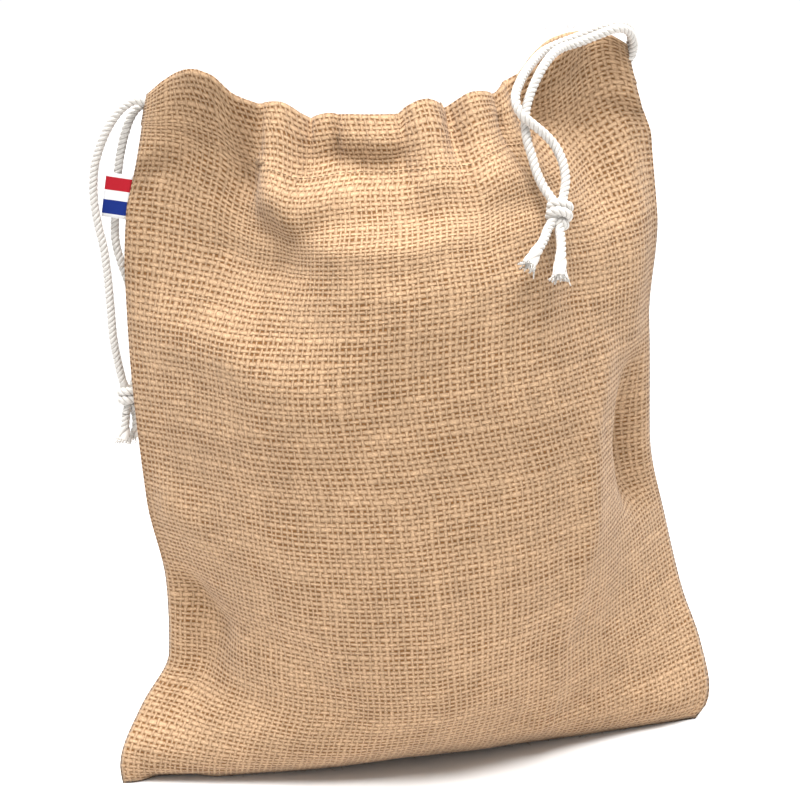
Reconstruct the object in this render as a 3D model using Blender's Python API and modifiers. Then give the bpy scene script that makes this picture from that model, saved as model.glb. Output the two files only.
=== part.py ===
"""A burlap drawstring sack, standing filled out on its base: metres, +Z up, the front towards -Y."""

from collections import namedtuple
from functools import lru_cache
from math import cos, pi, sin

import bmesh
import bpy
import numpy as np
from mathutils import Vector

MM = 0.001

# Driving sizes of the flat sack
CLOTH_WIDTH = 300 * MM
CLOTH_HEIGHT = 360 * MM  # from the fold at the base to the fold at the mouth
CLOTH_THICK = 1.2 * MM
SEAM_TOP = 318 * MM  # the side seams stop a little under the casing
CORD_THICK = 4 * MM
TAB_HEIGHT = 20 * MM
TAB_REACH = 10 * MM

# How the cloth is drawn as a grid
EAR_COLUMNS = 5  # across each ear, beside the gathers
GATHER_COLUMNS = 42
EAR_CLOTH = 50 * MM
SECTION_POINTS = 180
ROUNDING = 0.16  # how softly a section turns from its flat front to its sides
WELD = 0.05 * MM  # joins the front and the back of the grid along the seams

# The casing at the mouth
TUNNEL_AT_SEAM = 4.8 * MM  # from the outer face of the casing to the inner face of its turned-in hem
TUNNEL_AT_GATHERS = 6 * MM
TUNNEL_WIDENS = 0.2  # within this share of the width from a seam
SIDE_SLIT = 5.4 * MM  # half the gap between the front and back casing at a side
SLIT_OPENS = 12 * MM  # up the cloth from the top of the seam
SLIT_SHARE = 0.22  # of the width, where the front and back casing lean apart
COLUMN_GROOVE = 0.8  # how sharp the groove between two columns is, from 1, soft, towards 0
COLUMN_SINKS = 0.3  # how much of a column's depth its grooves stand in
COLUMN_TOP = 12 * MM  # under the mouth's fold, where a column reaches its full depth
COLUMN_LIFT = 22 * MM  # under the mouth's fold, where a column starts to raise the edge
SEAM_PINCH = 0.05  # of the width, where folds fade out towards a seam
RIM_STARTS = 250 * MM  # up the cloth, where the ears begin to stand above the gathers

WIDE = 300  # mm, the width that shares of the cloth are of, in the tables below

# The two side seams: how far up the cloth, then where the left and the right seam are, in mm
Seam = namedtuple("Seam", "up left_x left_y left_z right_x right_y right_z")
SEAMS = [
    Seam(0, -149, -3, 0, 131, 11, 0),
    Seam(10, -149.5, -4, 8, 137.5, 11, 8.5),
    Seam(18, -148, -4, 16, 139, 12, 17),
    Seam(40, -137, 5, 36, 136, 16, 39),
    Seam(70, -122.5, 13, 58, 128.5, 19, 66),
    Seam(110, -120.5, 14, 93, 122, 22, 102),
    Seam(160, -125, 8, 136, 114.5, 14, 146),
    Seam(220, -126, 7, 191, 114, 3, 203),
    Seam(270, -125, 13, 238, 121, 10, 252),
    Seam(305, -121.5, 15.5, 269, 121, 17, 284.5),
    Seam(330, -114, 17, 293, 115.4, 18, 303.5),
    Seam(360, -107, 17, 320.5, 110.5, 18, 327.5),
]

# The middle line of the front and of the back, in mm, and the share of each half that is flat.
# A height under 0 is pressed flat on the surface below.
Face = namedtuple("Face", "up front_y front_z back_y back_z flat_left flat_right")
FACES = [
    Face(0, -5, -2, -3, -2, 0.60, 0.35),
    Face(14, -17, 0.5, 10, -2, 0.64, 0.45),
    Face(24, -25.5, 6.5, 19, -2, 0.60, 0.45),
    Face(40, -36.5, 19, 32, 6, 0.52, 0.30),
    Face(70, -49, 45.5, 42, 34, 0.40, 0.30),
    Face(110, -59.5, 84, 50, 73, 0.35, 0.50),
    Face(160, -66, 132, 56, 122, 0.30, 0.70),
    Face(220, -67, 191, 57, 181, 0.45, 0.72),
    Face(255, -61, 225, 53, 215, 0.50, 0.64),
    Face(285, -48, 250, 43, 240, 0.45, 0.52),
    Face(310, -31, 266, 28, 258, 0.35, 0.42),
    Face(328, -23, 281, 19, 273, 0.30, 0.30),
    Face(345, -14, 295, 20, 288, 0.30, 0.30),
    Face(360, -5, 307, 21, 300, 0.30, 0.30),
]

# How high the mouth's edge is along each face, from the left seam (0) to the right seam (1), in mm
Rim = namedtuple("Rim", "along front back")
RIM = [
    Rim(0.00, 321, 320),
    Rim(0.04, 326, 325),
    Rim(0.08, 330, 328),
    Rim(0.12, 331.5, 327),
    Rim(0.16, 329, 320),
    Rim(0.20, 319, 309),
    Rim(0.24, 313, 303),
    Rim(0.28, 311, 300),
    Rim(0.33, 305, 297),
    Rim(0.39, 306, 296),
    Rim(0.50, 305, 296),
    Rim(0.56, 307, 297),
    Rim(0.61, 305, 298),
    Rim(0.65, 308.5, 300),
    Rim(0.70, 309, 304),
    Rim(0.74, 313, 308.5),
    Rim(0.80, 322, 326.5),
    Rim(0.85, 327, 333),
    Rim(0.90, 332, 335),
    Rim(0.95, 334, 334),
    Rim(1.00, 328, 328),
]

# Rounded columns of the gathers, between the shares of the width where each one starts and ends: how far out
# its crest stands and how much the mouth's edge rises there, in mm, and how far down the cloth it runs, in mm
Column = namedtuple("Column", "start end out rises reach")
FRONT_COLUMNS = [
    Column(0.236, 0.330, 8.5, 2, 66),
    Column(0.330, 0.386, 5, 1.5, 44),
    Column(0.386, 0.436, 2.5, 0.5, 40),
    Column(0.436, 0.510, 3, 0.5, 40),
    Column(0.510, 0.606, 7.5, 3.5, 66),
    Column(0.606, 0.706, 7.5, 3, 58),
    Column(0.706, 0.752, 2.5, 1, 50),
]
BACK_COLUMNS = [
    Column(0.21, 0.27, 3.5, 1, 60),
    Column(0.27, 0.35, 6, 2, 66),
    Column(0.35, 0.41, 4, 1, 50),
    Column(0.41, 0.50, 6.5, 2.5, 60),
    Column(0.50, 0.56, 4, 1, 50),
    Column(0.56, 0.65, 6.5, 2, 66),
    Column(0.65, 0.71, 4, 1, 50),
    Column(0.71, 0.78, 5, 1.5, 60),
]

# Soft folds of each face: half width, in mm, and points along the fold with how far out it stands there, in mm
Fold = namedtuple("Fold", "wide bends")
Bend = namedtuple("Bend", "along up out")
FRONT_FOLDS = [
    # The left ear leans out, and its flap swells below
    Fold(24, [Bend(0.06, 364, 7), Bend(0.15, 364, 15)]),
    Fold(13, [Bend(0.06, 290, -2), Bend(0.20, 286, -5), Bend(0.33, 272, -2)]),
    Fold(15, [Bend(0.05, 250, 2), Bend(0.22, 240, 5), Bend(0.38, 222, 2)]),
    # The shoulder under the gathers, with a hollow over it and one at its left
    Fold(10, [Bend(0.37, 338, -5), Bend(0.43, 334, -9), Bend(0.50, 334, -8)]),
    Fold(11, [Bend(0.25, 322, 1), Bend(0.32, 310, 4), Bend(0.40, 295, 5), Bend(0.52, 290, 4), Bend(0.60, 298, 2)]),
    Fold(12, [Bend(0.20, 320, -1), Bend(0.25, 304, -3), Bend(0.31, 286, -4), Bend(0.38, 270, -2)]),
    Fold(13, [Bend(0.64, 318, 4), Bend(0.70, 320, 3)]),
    Fold(5, [Bend(0.615, 358, -4), Bend(0.60, 340, -2)]),
    Fold(8, [Bend(0.750, 360, -11), Bend(0.785, 330, -10)]),
    Fold(6, [Bend(0.226, 360, -4), Bend(0.222, 322, -5)]),
    # The right ear leans out, and its flap swells below
    Fold(22, [Bend(0.86, 364, 8), Bend(0.92, 364, 1)]),
    Fold(12, [Bend(0.83, 322, -4), Bend(0.92, 320, -3)]),
    # The right side is drawn in at the seam beside a long ridge
    Fold(13, [Bend(0.93, 196, -8), Bend(0.92, 172, -19), Bend(0.93, 142, -11)]),
    Fold(8, [Bend(0.84, 217, 2), Bend(0.79, 190, 3), Bend(0.76, 139, 3), Bend(0.71, 95, 2), Bend(0.68, 30, 2)]),
    # The left side is drawn in above the corner
    Fold(16, [Bend(0.05, 160, 3), Bend(0.10, 150, 3)]),
    Fold(13, [Bend(0.05, 106, -9), Bend(0.09, 92, -9), Bend(0.07, 78, -6)]),
    Fold(12, [Bend(0.12, 104, -2), Bend(0.28, 92, -3), Bend(0.35, 52, -2)]),
]
BACK_FOLDS = [
    Fold(22, [Bend(0.08, 364, 5), Bend(0.14, 364, 7)]),
    Fold(12, [Bend(0.12, 292, -3), Bend(0.26, 280, -4)]),
    Fold(14, [Bend(0.16, 256, 2), Bend(0.34, 236, 3)]),
    Fold(11, [Bend(0.36, 300, 4), Bend(0.60, 298, 4)]),
    Fold(11, [Bend(0.70, 300, -3), Bend(0.80, 270, -4), Bend(0.86, 232, -2)]),
    Fold(20, [Bend(0.88, 364, 6), Bend(0.93, 364, 5)]),
    Fold(12, [Bend(0.92, 170, -5), Bend(0.93, 140, -4)]),
    Fold(10, [Bend(0.20, 200, 2), Bend(0.26, 150, 3), Bend(0.24, 90, 2)]),
    Fold(12, [Bend(0.08, 112, -4), Bend(0.16, 92, -3), Bend(0.30, 70, -2)]),
    Fold(12, [Bend(0.66, 120, 2), Bend(0.74, 84, 3), Bend(0.80, 50, 2)]),
]

# How far the front swells out of its plain section, in mm, by height and by share of the width
Swell = namedtuple("Swell", "up at_06 at_12 at_20 at_28 at_36 at_45 at_55 at_62 at_70 at_78 at_86 at_93")
SWELL_PLACES = (0, 0.06, 0.12, 0.20, 0.28, 0.36, 0.45, 0.55, 0.62, 0.70, 0.78, 0.86, 0.93, 1)
SWELLS = [
    Swell(60, 0, 0, 0, 0, 0, 0, 0, 0, 0, 0, 0, 0),
    Swell(120, 0, 1, 3, 3, 1, 0, 0, 1, 2, 3, 0, 0),
    Swell(180, 0, 0, 1, 1, 0, 0, 0, 0, 0, 1, 0, 0),
    Swell(200, 0, 0, 0, 0, 0, 0, 0, 0, 0, 0, 0, 1),
    Swell(225, -1, -3, -4, -4, -3, -1, 0, 0, -1, -2, -1, 2),
    Swell(250, -3, -6, -8, -10, -6, 1, 4, 2, 0, -6, -1, 3),
    Swell(270, -4, -8, -11, -10, -3, 4, 6, 5, 2, -3, -1, 3),
    Swell(300, -2, -5, -7, -3, 1, 6, 9, 10, 9, 3.5, -4, 1),
    Swell(320, -1, -5, -6, 4, 10, 4, 9, 11, 11, 2, -5, -1),
    Swell(340, -1, -3, -1, -3, -6, 2, 4, 3, 1, -4, -6, -5),
    Swell(360, -2, 3, 3, -7, -6, 1, 0, -2, -2, -3, -3, -6),
]

# Routes of the free cords, in mm: from a mouth of the casing to a knot
CORD_ROUTES = {
    "cord_right_over": [
        (113.8, 20.2, 325.2), (114.2, 18.6, 329.6), (112.8, 15.6, 334), (109.6, 12.4, 336.9),
        (104, 9, 337.4), (95.5, 7.8, 336), (87.5, 7.2, 333.4), (79, 6.6, 331), (71, 4, 328),
        (64, -5.5, 323.4), (57.6, -17, 317.6), (53.4, -27, 311), (54.5, -31, 304.5),
        (59.5, -31, 299.4), (65.2, -30, 294), (69.4, -30.4, 288.4), (71.8, -33, 281.4),
        (72, -36.4, 274.4), (70.2, -39.6, 268),
    ],
    "cord_right_under": [
        (113.8, 14, 323.2), (114, 12.2, 328), (111.6, 9.4, 332.8), (108.4, 6.8, 335.2),
        (103.5, 4.4, 335.6), (95, 3.4, 333.4), (87, 2.4, 331), (79.5, 0, 329.4), (73.8, -6.6, 327.2),
        (67, -14.4, 321), (60.8, -20, 311.2), (57.6, -25, 302.8), (57, -29.4, 293.6),
        (58.6, -32, 285.4), (60, -35, 278.4), (62.2, -37.4, 272.4), (65, -40, 267.6),
    ],
    "cord_left_outer": [
        (-111, 13.6, 319), (-114.6, 13.4, 318.4), (-120.5, 13.2, 314.2), (-127, 13.2, 305.5),
        (-132.4, 14, 294), (-134.6, 14.3, 284), (-135.2, 14.5, 274), (-134.4, 14.7, 264),
        (-133.2, 15, 254), (-132.8, 15.3, 242), (-133, 15.9, 228), (-133.4, 16.9, 212),
        (-132.6, 18.5, 200), (-131.4, 19.5, 190.6),
    ],
    "cord_left_inner": [
        (-111.4, 19.4, 316), (-113.6, 19.4, 314), (-116.8, 19.2, 309), (-120.4, 19.6, 300),
        (-123.4, 20.7, 289), (-125.4, 20.9, 277), (-127.4, 20.8, 265.5), (-128, 20.5, 255),
        (-126, 20.3, 244), (-123, 20.9, 231), (-121.6, 21.4, 217), (-122.2, 21.4, 203),
        (-125.6, 21, 191),
    ],
}

# The loose ends below each knot, in mm, from the knot to a cut end
TAIL_ROUTES = {
    "tail_right_1": [(61.4, -48, 255.4), (58.8, -52.6, 251.6), (54.6, -58, 247.6), (50.8, -62, 243.2)],
    "tail_right_2": [(66.8, -47.2, 254.8), (66.4, -52, 249.2), (65, -57, 243), (63.8, -61, 237.2)],
    "tail_left_1": [(-131.4, 18, 175.2), (-132, 18, 171.5), (-132.8, 18, 167.5), (-133.4, 17.8, 163.4)],
    "tail_left_2": [(-127.2, 20.4, 175.2), (-127.2, 21, 171.5), (-127.4, 21.6, 167.5), (-127.8, 22, 163.6)],
}
CORD_SPACING = 10 * MM  # between the points of a drawn cord
CURVE_STEPS = 8  # between two points of a route

# Knots: middle and half sizes, in mm
Knot = namedtuple("Knot", "x y z half_x half_y half_z")
KNOTS = {
    "knot_right": Knot(67.6, -43.2, 261, 6.6, 5.6, 5.6),
    "knot_left": Knot(-129, 19.6, 182.8, 6.2, 5.6, 7.0),
}

# The ribbon tab in the left side seam
TAB_AT = (-120.6, 17, 276)  # the middle of its sewn edge, in mm
TAB_TILT = 0.22  # radians, its free end higher
RIBBON_THICK = 1 * MM
RIBBON_GAP = 0.4 * MM
RIBBON_TURNS = 6  # steps round the ribbon's fold

# Rows of the grid, up the cloth to the mouth's fold, in mm
ROWS_UP = (0, 14, 24, 36, 54, 78, 106, 136, 166, 196, 222, 244, 262, 278, 292, 305, 318, 330, 340, 351, 358)
HEM_ROWS = (356, 344, 332)  # and back down inside, as the turned-in hem


def smooth_step(start, end, at):
    t = np.clip((np.asarray(at, float) - start) / (end - start), 0, 1)
    return t * t * (3 - 2 * t)


def smooth_line(places, values, at):
    """A smooth curve with no overshoot through these values, read at one or more places."""
    places, values = np.array(places, float), np.array(values, float)
    steps = np.diff(places)
    rises = np.diff(values) / steps
    product = rises[:-1] * rises[1:]
    total = rises[:-1] + rises[1:]
    inner = np.where(product > 0, 2 * product / np.where(product > 0, total, 1), 0)
    slopes = np.concatenate([rises[:1], inner, rises[-1:]])
    at = np.clip(at, places[0], places[-1])
    i = np.clip(np.searchsorted(places, at, side="right") - 1, 0, len(steps) - 1)
    t = (at - places[i]) / steps[i]
    start = (1 + 2 * t) * (1 - t) ** 2 * values[i] + t * (1 - t) ** 2 * steps[i] * slopes[i]
    end = t * t * (3 - 2 * t) * values[i + 1] - t * t * (1 - t) * steps[i] * slopes[i + 1]
    return start + end


def ease(rows, column, at):
    """A smooth curve through one column of a table."""
    return smooth_line([row[0] for row in rows], [getattr(row, column) for row in rows], at)


def swell(shares, up):
    """How far the front swells along a section, in mm."""
    values = [float(ease(SWELLS, name, up)) for name in Swell._fields[1:]]
    return smooth_line(SWELL_PLACES, [0, *values, 0], shares)


def bulge(away, flat):
    """1 at the middle of a face, falling to 0 at its seam once past the flat share."""

    def ramp(t):
        return ROUNDING * np.log1p(np.exp((t - flat) / ROUNDING))

    return 1 - (ramp(away) - ramp(0)) / (ramp(1) - ramp(0))


def plain_section(up, front):
    """The points of one face's smooth section from the left seam to the right, up the cloth by this much."""
    height = up / MM
    left = np.array([ease(SEAMS, name, height) for name in ("left_x", "left_y", "left_z")])
    right = np.array([ease(SEAMS, name, height) for name in ("right_x", "right_y", "right_z")])
    side = "front" if front else "back"
    across = -np.cos(pi * np.linspace(0, 1, SECTION_POINTS + 1))
    flat = np.where(
        across < 0, ease(FACES, "flat_left", height), ease(FACES, "flat_right", height)
    )
    middle = (left + right) / 2
    outward = np.array([0, ease(FACES, side + "_y", height), ease(FACES, side + "_z", height)])
    outward[1:] -= middle[1:]
    points = middle + np.outer(across, (right - left) / 2)
    return (points + np.outer(bulge(np.abs(across), flat), outward)) * MM


@lru_cache(maxsize=None)
def mouth_section(front):
    return plain_section(CLOTH_HEIGHT, front)


def shares_along(points):
    """How far along the line each point is, from 0 to 1."""
    steps = np.linalg.norm(np.diff(points, axis=0), axis=1)
    lengths = np.concatenate([[0], np.cumsum(steps)])
    return lengths / lengths[-1]


def fold_height(fold, shares, up):
    """How far out one soft fold stands along a section, in mm."""
    spots = np.array([(bend.along * WIDE, bend.up, bend.out) for bend in fold.bends], float)
    x = shares * WIDE
    nearest = np.full(len(x), np.inf)
    height = np.zeros(len(x))
    for start, end in zip(spots[:-1], spots[1:]):
        run = end[:2] - start[:2]
        t = np.clip(((x - start[0]) * run[0] + (up - start[1]) * run[1]) / (run @ run), 0, 1)
        away = np.hypot(x - start[0] - t * run[0], up - start[1] - t * run[1])
        closer = away < nearest
        nearest = np.where(closer, away, nearest)
        height = np.where(closer, start[2] + t * (end[2] - start[2]), height)
    return height * np.exp(-((nearest / fold.wide) ** 2))


def section(up, front):
    """A section of the cloth with its ears, gathers, folds and side slits, as points close together."""
    points = plain_section(up, front)
    shares = shares_along(points)
    from_seam = np.minimum(shares, 1 - shares)
    side = "front" if front else "back"
    toward = -1 if front else 1
    tangent = np.gradient(points, axis=0)
    outward = np.stack([tangent[:, 1], -tangent[:, 0], np.zeros(len(points))], axis=1)
    outward *= -toward / np.linalg.norm(outward, axis=1)[:, None]
    offset = swell(shares, up / MM) if front else np.zeros(len(points))
    raised = np.zeros(len(points))
    for column in FRONT_COLUMNS if front else BACK_COLUMNS:
        t = (2 * shares - column.start - column.end) / (column.end - column.start)
        fade = smooth_step(CLOTH_HEIGHT - column.reach * MM, CLOTH_HEIGHT - COLUMN_TOP, up)
        hump = np.maximum(1 - t * t, 0) ** COLUMN_GROOVE
        offset += column.out * fade * (hump - COLUMN_SINKS * (np.abs(t) < 1))
        raised += column.rises * hump
    for fold in FRONT_FOLDS if front else BACK_FOLDS:
        offset += fold_height(fold, shares, up / MM)
    offset *= smooth_step(0, SEAM_PINCH, from_seam)
    lift = ease(RIM, side, shares) - mouth_section(front)[:, 2] / MM
    lift *= smooth_step(RIM_STARTS, CLOTH_HEIGHT, up)
    lift += raised * smooth_step(CLOTH_HEIGHT - COLUMN_LIFT, CLOTH_HEIGHT, up)
    slit = SIDE_SLIT * smooth_step(SEAM_TOP, SEAM_TOP + SLIT_OPENS, up)
    shaped = points + outward * offset[:, None] * MM
    shaped[:, 1] += toward * slit * (1 - smooth_step(0, SLIT_SHARE, from_seam))
    shaped[:, 2] += lift * MM
    return shaped


def even_points(points, shares_wanted):
    """Points on the line at these shares of its length."""
    shares = shares_along(points)
    return np.stack([np.interp(shares_wanted, shares, points[:, i]) for i in range(3)], axis=1)


def column_shares():
    """The grid's columns as shares of the cloth's width: wide on the ears, close in the gathers."""
    ear = EAR_CLOTH / CLOTH_WIDTH
    left = np.linspace(0, ear, EAR_COLUMNS + 1)
    middle = np.linspace(ear, 1 - ear, GATHER_COLUMNS + 1)
    return np.concatenate([left[:-1], middle, 1 - left[-2::-1]])


def cloth_rows(front):
    """Rows of points up one face, over the fold at the mouth and down inside as the hem."""
    shares = column_shares()
    near_seam = 1 - smooth_step(0, TUNNEL_WIDENS, np.minimum(shares, 1 - shares))
    tunnel = TUNNEL_AT_GATHERS + (TUNNEL_AT_SEAM - TUNNEL_AT_GATHERS) * near_seam

    def row(up, moved_in):
        points = even_points(section(up * MM, front), shares)
        points[:, 1] += (moved_in if front else -moved_in) * tunnel
        points[:, 2] = np.maximum(points[:, 2], 0)
        return points

    rows = [row(up, 0) for up in ROWS_UP]
    rows.append(row(CLOTH_HEIGHT / MM, 0.5))
    return rows + [row(up, 1) for up in HEM_ROWS]


def new_object(name, mesh, material):
    mesh.materials.append(material)
    thing = bpy.data.objects.new(name, mesh)
    sack_collection().objects.link(thing)
    return thing


def sack_collection():
    name = "burlap_sack"
    if name not in bpy.data.collections:
        bpy.context.scene.collection.children.link(bpy.data.collections.new(name))
    return bpy.data.collections[name]


def matte(name, colour):
    material = bpy.data.materials.new(name)
    material.use_nodes = True
    principled = material.node_tree.nodes["Principled BSDF"]
    principled.inputs["Base Color"].default_value = (*colour, 1)
    principled.inputs["Roughness"].default_value = 0.95
    principled.inputs["Metallic"].default_value = 0
    return material


def make_sack():
    """One length of burlap: its grid is folded at the base and its sides are sewn up to the casing."""
    back_rows = cloth_rows(front=False)
    front_rows = cloth_rows(front=True)
    rows = list(reversed(back_rows)) + front_rows[1:]
    columns = len(rows[0])
    cloth = bmesh.new()
    bmesh.ops.create_grid(cloth, x_segments=columns - 1, y_segments=len(rows) - 1, size=1)
    for vertex in cloth.verts:
        column = round((vertex.co.x + 1) / 2 * (columns - 1))
        row = round((vertex.co.y + 1) / 2 * (len(rows) - 1))
        vertex.co = rows[row][column]
    bmesh.ops.remove_doubles(cloth, verts=cloth.verts, dist=WELD)
    bmesh.ops.recalc_face_normals(cloth, faces=cloth.faces)
    mesh = bpy.data.meshes.new("sack_cloth")
    cloth.to_mesh(mesh)
    cloth.free()
    sack = new_object("sack_cloth", mesh, matte("burlap", (0.52, 0.34, 0.17)))
    thicken = sack.modifiers.new("thickness", "SOLIDIFY")
    thicken.thickness = CLOTH_THICK
    thicken.offset = -1
    thicken.use_even_offset = False
    return sack


def smooth_route(route):
    """Points at an even spacing on a smooth curve through the route."""
    points = np.array(route, float) * MM
    ends = np.vstack([2 * points[0] - points[1], points, 2 * points[-1] - points[-2]])
    curve = []
    for before, start, end, after in zip(ends, ends[1:], ends[2:], ends[3:]):
        for t in np.linspace(0, 1, CURVE_STEPS, endpoint=False):
            curve.append(
                0.5
                * (
                    2 * start
                    + (end - before) * t
                    + (2 * before - 5 * start + 4 * end - after) * t**2
                    + (3 * start - before - 3 * end + after) * t**3
                )
            )
    curve.append(points[-1])
    curve = np.array(curve)
    length = np.linalg.norm(np.diff(curve, axis=0), axis=1).sum()
    return even_points(curve, np.linspace(0, 1, max(3, round(length / CORD_SPACING)) + 1))


def make_cord(name, route, material):
    points = smooth_route(route)
    curve = bpy.data.curves.new(name, "CURVE")
    curve.dimensions = "3D"
    curve.bevel_depth = CORD_THICK / 2
    curve.bevel_resolution = 2
    curve.use_fill_caps = True
    spline = curve.splines.new("POLY")
    spline.points.add(len(points) - 1)
    for spline_point, point in zip(spline.points, points):
        spline_point.co = (*point, 1)
    return new_object(name, curve, material)


def make_knot(name, knot, material):
    ball = bmesh.new()
    bmesh.ops.create_uvsphere(ball, u_segments=16, v_segments=10, radius=1)
    mesh = bpy.data.meshes.new(name)
    for vertex in ball.verts:
        vertex.co.x *= knot.half_x * MM
        vertex.co.y *= knot.half_y * MM
        vertex.co.z *= knot.half_z * MM
    ball.to_mesh(mesh)
    ball.free()
    thing = new_object(name, mesh, material)
    thing.location = Vector((knot.x, knot.y, knot.z)) * MM
    return thing


def make_tab():
    """A ribbon folded double across its length, its two ends caught in the side seam."""
    middle = (RIBBON_GAP + RIBBON_THICK) / 2
    bend = TAB_REACH - middle
    line = [(0, -middle)]
    for i in range(RIBBON_TURNS + 1):
        angle = -pi / 2 + pi * i / RIBBON_TURNS
        line.append((bend + middle * cos(angle), middle * sin(angle)))
    line.append((0, middle))
    strip = bmesh.new()
    bmesh.ops.create_grid(strip, x_segments=len(line) - 1, y_segments=1, size=1)
    for vertex in strip.verts:
        out, across = line[round((vertex.co.x + 1) / 2 * (len(line) - 1))]
        vertex.co = (-out, across, vertex.co.y * TAB_HEIGHT / 2)
    mesh = bpy.data.meshes.new("flag_tab")
    strip.to_mesh(mesh)
    strip.free()
    tab = new_object("flag_tab", mesh, matte("ribbon", (0.9, 0.9, 0.9)))
    tab.location = Vector(TAB_AT) * MM
    tab.rotation_euler.y = TAB_TILT
    thicken = tab.modifiers.new("thickness", "SOLIDIFY")
    thicken.thickness = RIBBON_THICK
    thicken.offset = 0
    return tab


def clear_scene():
    for thing in list(bpy.data.objects):
        bpy.data.objects.remove(thing)


def main():
    clear_scene()
    make_sack()
    cotton = matte("cotton_cord", (0.86, 0.82, 0.74))
    for name, route in {**CORD_ROUTES, **TAIL_ROUTES}.items():
        make_cord(name, route, cotton)
    for name, knot in KNOTS.items():
        make_knot(name, knot, cotton)
    make_tab()


main()
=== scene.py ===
"""A burlap drawstring sack with cotton cords: metres, +Z up, the front towards -Y.

Each operator builds one piece, or one group of like pieces, around the frame's plain solids.
"""

import random
from collections import namedtuple
from functools import lru_cache
from math import cos, pi, radians, sin

import bmesh
import bpy
import numpy as np
from bpy.props import FloatProperty, FloatVectorProperty, PointerProperty
from mathutils import Matrix, Vector, noise


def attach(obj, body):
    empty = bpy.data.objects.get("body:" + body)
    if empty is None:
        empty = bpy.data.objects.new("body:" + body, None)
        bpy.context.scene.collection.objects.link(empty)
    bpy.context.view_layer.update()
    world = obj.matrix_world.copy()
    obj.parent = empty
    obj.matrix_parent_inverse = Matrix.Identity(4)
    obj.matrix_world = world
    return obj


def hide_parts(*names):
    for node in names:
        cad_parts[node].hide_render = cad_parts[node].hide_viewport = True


bl_info = {
    "name": "Burlap drawstring sack",
    "version": (1, 0, 0),
    "blender": (4, 5, 0),
    "location": "3D View > Sidebar > Sack",
    "description": "Builds a burlap sack with its drawcords, knots and ribbon tab",
    "category": "Object",
}

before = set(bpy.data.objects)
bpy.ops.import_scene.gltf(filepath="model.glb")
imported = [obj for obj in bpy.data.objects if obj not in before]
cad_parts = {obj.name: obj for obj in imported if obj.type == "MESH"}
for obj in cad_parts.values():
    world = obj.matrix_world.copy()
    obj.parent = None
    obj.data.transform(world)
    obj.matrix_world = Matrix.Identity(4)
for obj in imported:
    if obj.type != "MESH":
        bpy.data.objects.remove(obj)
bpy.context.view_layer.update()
MM = 0.001
BODY = "root"
FLAT_MAP = "Flat"  # the map that holds each point's place on the flat cloth, in metres

# How the cloth is drawn as a grid
SECTION_POINTS = 240
EAR_COLUMNS = 17  # across each ear, beside the gathers
GATHER_COLUMNS = 96
EAR_CLOTH = 50 * MM
ROW_STEP = 4 * MM
CASING_ROW_STEP = 2 * MM
CASING_ROWS_FROM = 288 * MM
HEM_ROW_STEP = 3 * MM
LEVEL_STEP = 2 * MM  # between the sections that the grid is read from
INSIDE_GRID = 0.001  # of a step, kept inside the last row or column when a grid is read
FOLD_STEPS = 4  # round the fold at the mouth
FOLD_CLOTH = 1 * MM  # the cloth that the fold at the mouth takes up
FOLD_STANDS = 0.6 * MM  # how far it stands above the top row
BASE_CLOTH = 5 * MM  # the cloth between the first rows of the two faces, along the base fold
WIDE = 300  # mm, the width that shares of the cloth are of, in the tables below
WELD = 0.02 * MM  # joins the front and the back of the grid along the seams

# How softly the sack is rounded and gathered
ROUNDING = 0.16
TUNNEL_AT_SEAM = 4.8 * MM  # from the casing's outer cloth to its turned-in hem
TUNNEL_AT_GATHERS = 6 * MM
TUNNEL_WIDENS = 0.2  # within this share of the width from a seam
HEM_CLOSES_FROM = 0.75  # of the hem's depth, where it starts to close on the cloth outside it
HEM_CLOSES_BY = 0.55  # of the tunnel
SIDE_SLIT = 5.4 * MM  # half the gap between the front and back casing at a side
SLIT_OPENS = 12 * MM  # above the top of the seam, it is open by this height
SLIT_SHARE = 0.22  # of the width, from a seam, that it spreads over
COLUMN_GROOVE = 0.6  # how sharp the groove between two columns is, from 1, soft, towards 0
COLUMN_SINKS = 0.42  # how much of a column's depth its grooves stand in
COLUMN_TOP = 12 * MM  # down from the mouth, where a column has its whole depth
COLUMN_LIFT = 22 * MM  # down from the mouth, where a column begins to raise the edge
SEAM_PINCH = 0.05  # of the width, from a seam, over which folds die away
RIM_STARTS = 250 * MM  # up the cloth, where the ears begin to stand above the gathers
BACK_RISE = 0.3  # how much of the front's rise of the threads the back has
LUMP = 0.7 * MM  # soft lumps all over the cloth, and how many of them a metre holds
LUMPS_A_METRE = 28
WRINKLE = 0.22 * MM
WRINKLES_A_METRE = 95
WRINKLE_SHIFT = Vector((7, 3, 1))  # keeps the wrinkles apart from the lumps
LUMP_PINCH = 0.06  # of the width, from a seam, over which lumps die away

# The two side seams: how far up the cloth, then where the left and the right seam are, in mm
Seam = namedtuple("Seam", "up left_x left_y left_z right_x right_y right_z")
SEAMS = [
    Seam(0, -149, -3, 0, 131, 11, 0),
    Seam(10, -149.5, -4, 8, 137.5, 11, 8.5),
    Seam(18, -148, -4, 16, 139, 12, 17),
    Seam(40, -137, 5, 36, 136, 16, 39),
    Seam(70, -122.5, 13, 58, 128.5, 19, 66),
    Seam(110, -120.5, 14, 93, 122, 22, 102),
    Seam(160, -125, 8, 136, 114.5, 14, 146),
    Seam(220, -126, 7, 191, 114, 3, 203),
    Seam(270, -125, 13, 238, 121, 10, 252),
    Seam(305, -121.5, 15.5, 269, 121, 17, 284.5),
    Seam(330, -114, 17, 293, 115.4, 18, 303.5),
    Seam(360, -107, 17, 320.5, 110.5, 18, 327.5),
]

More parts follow.
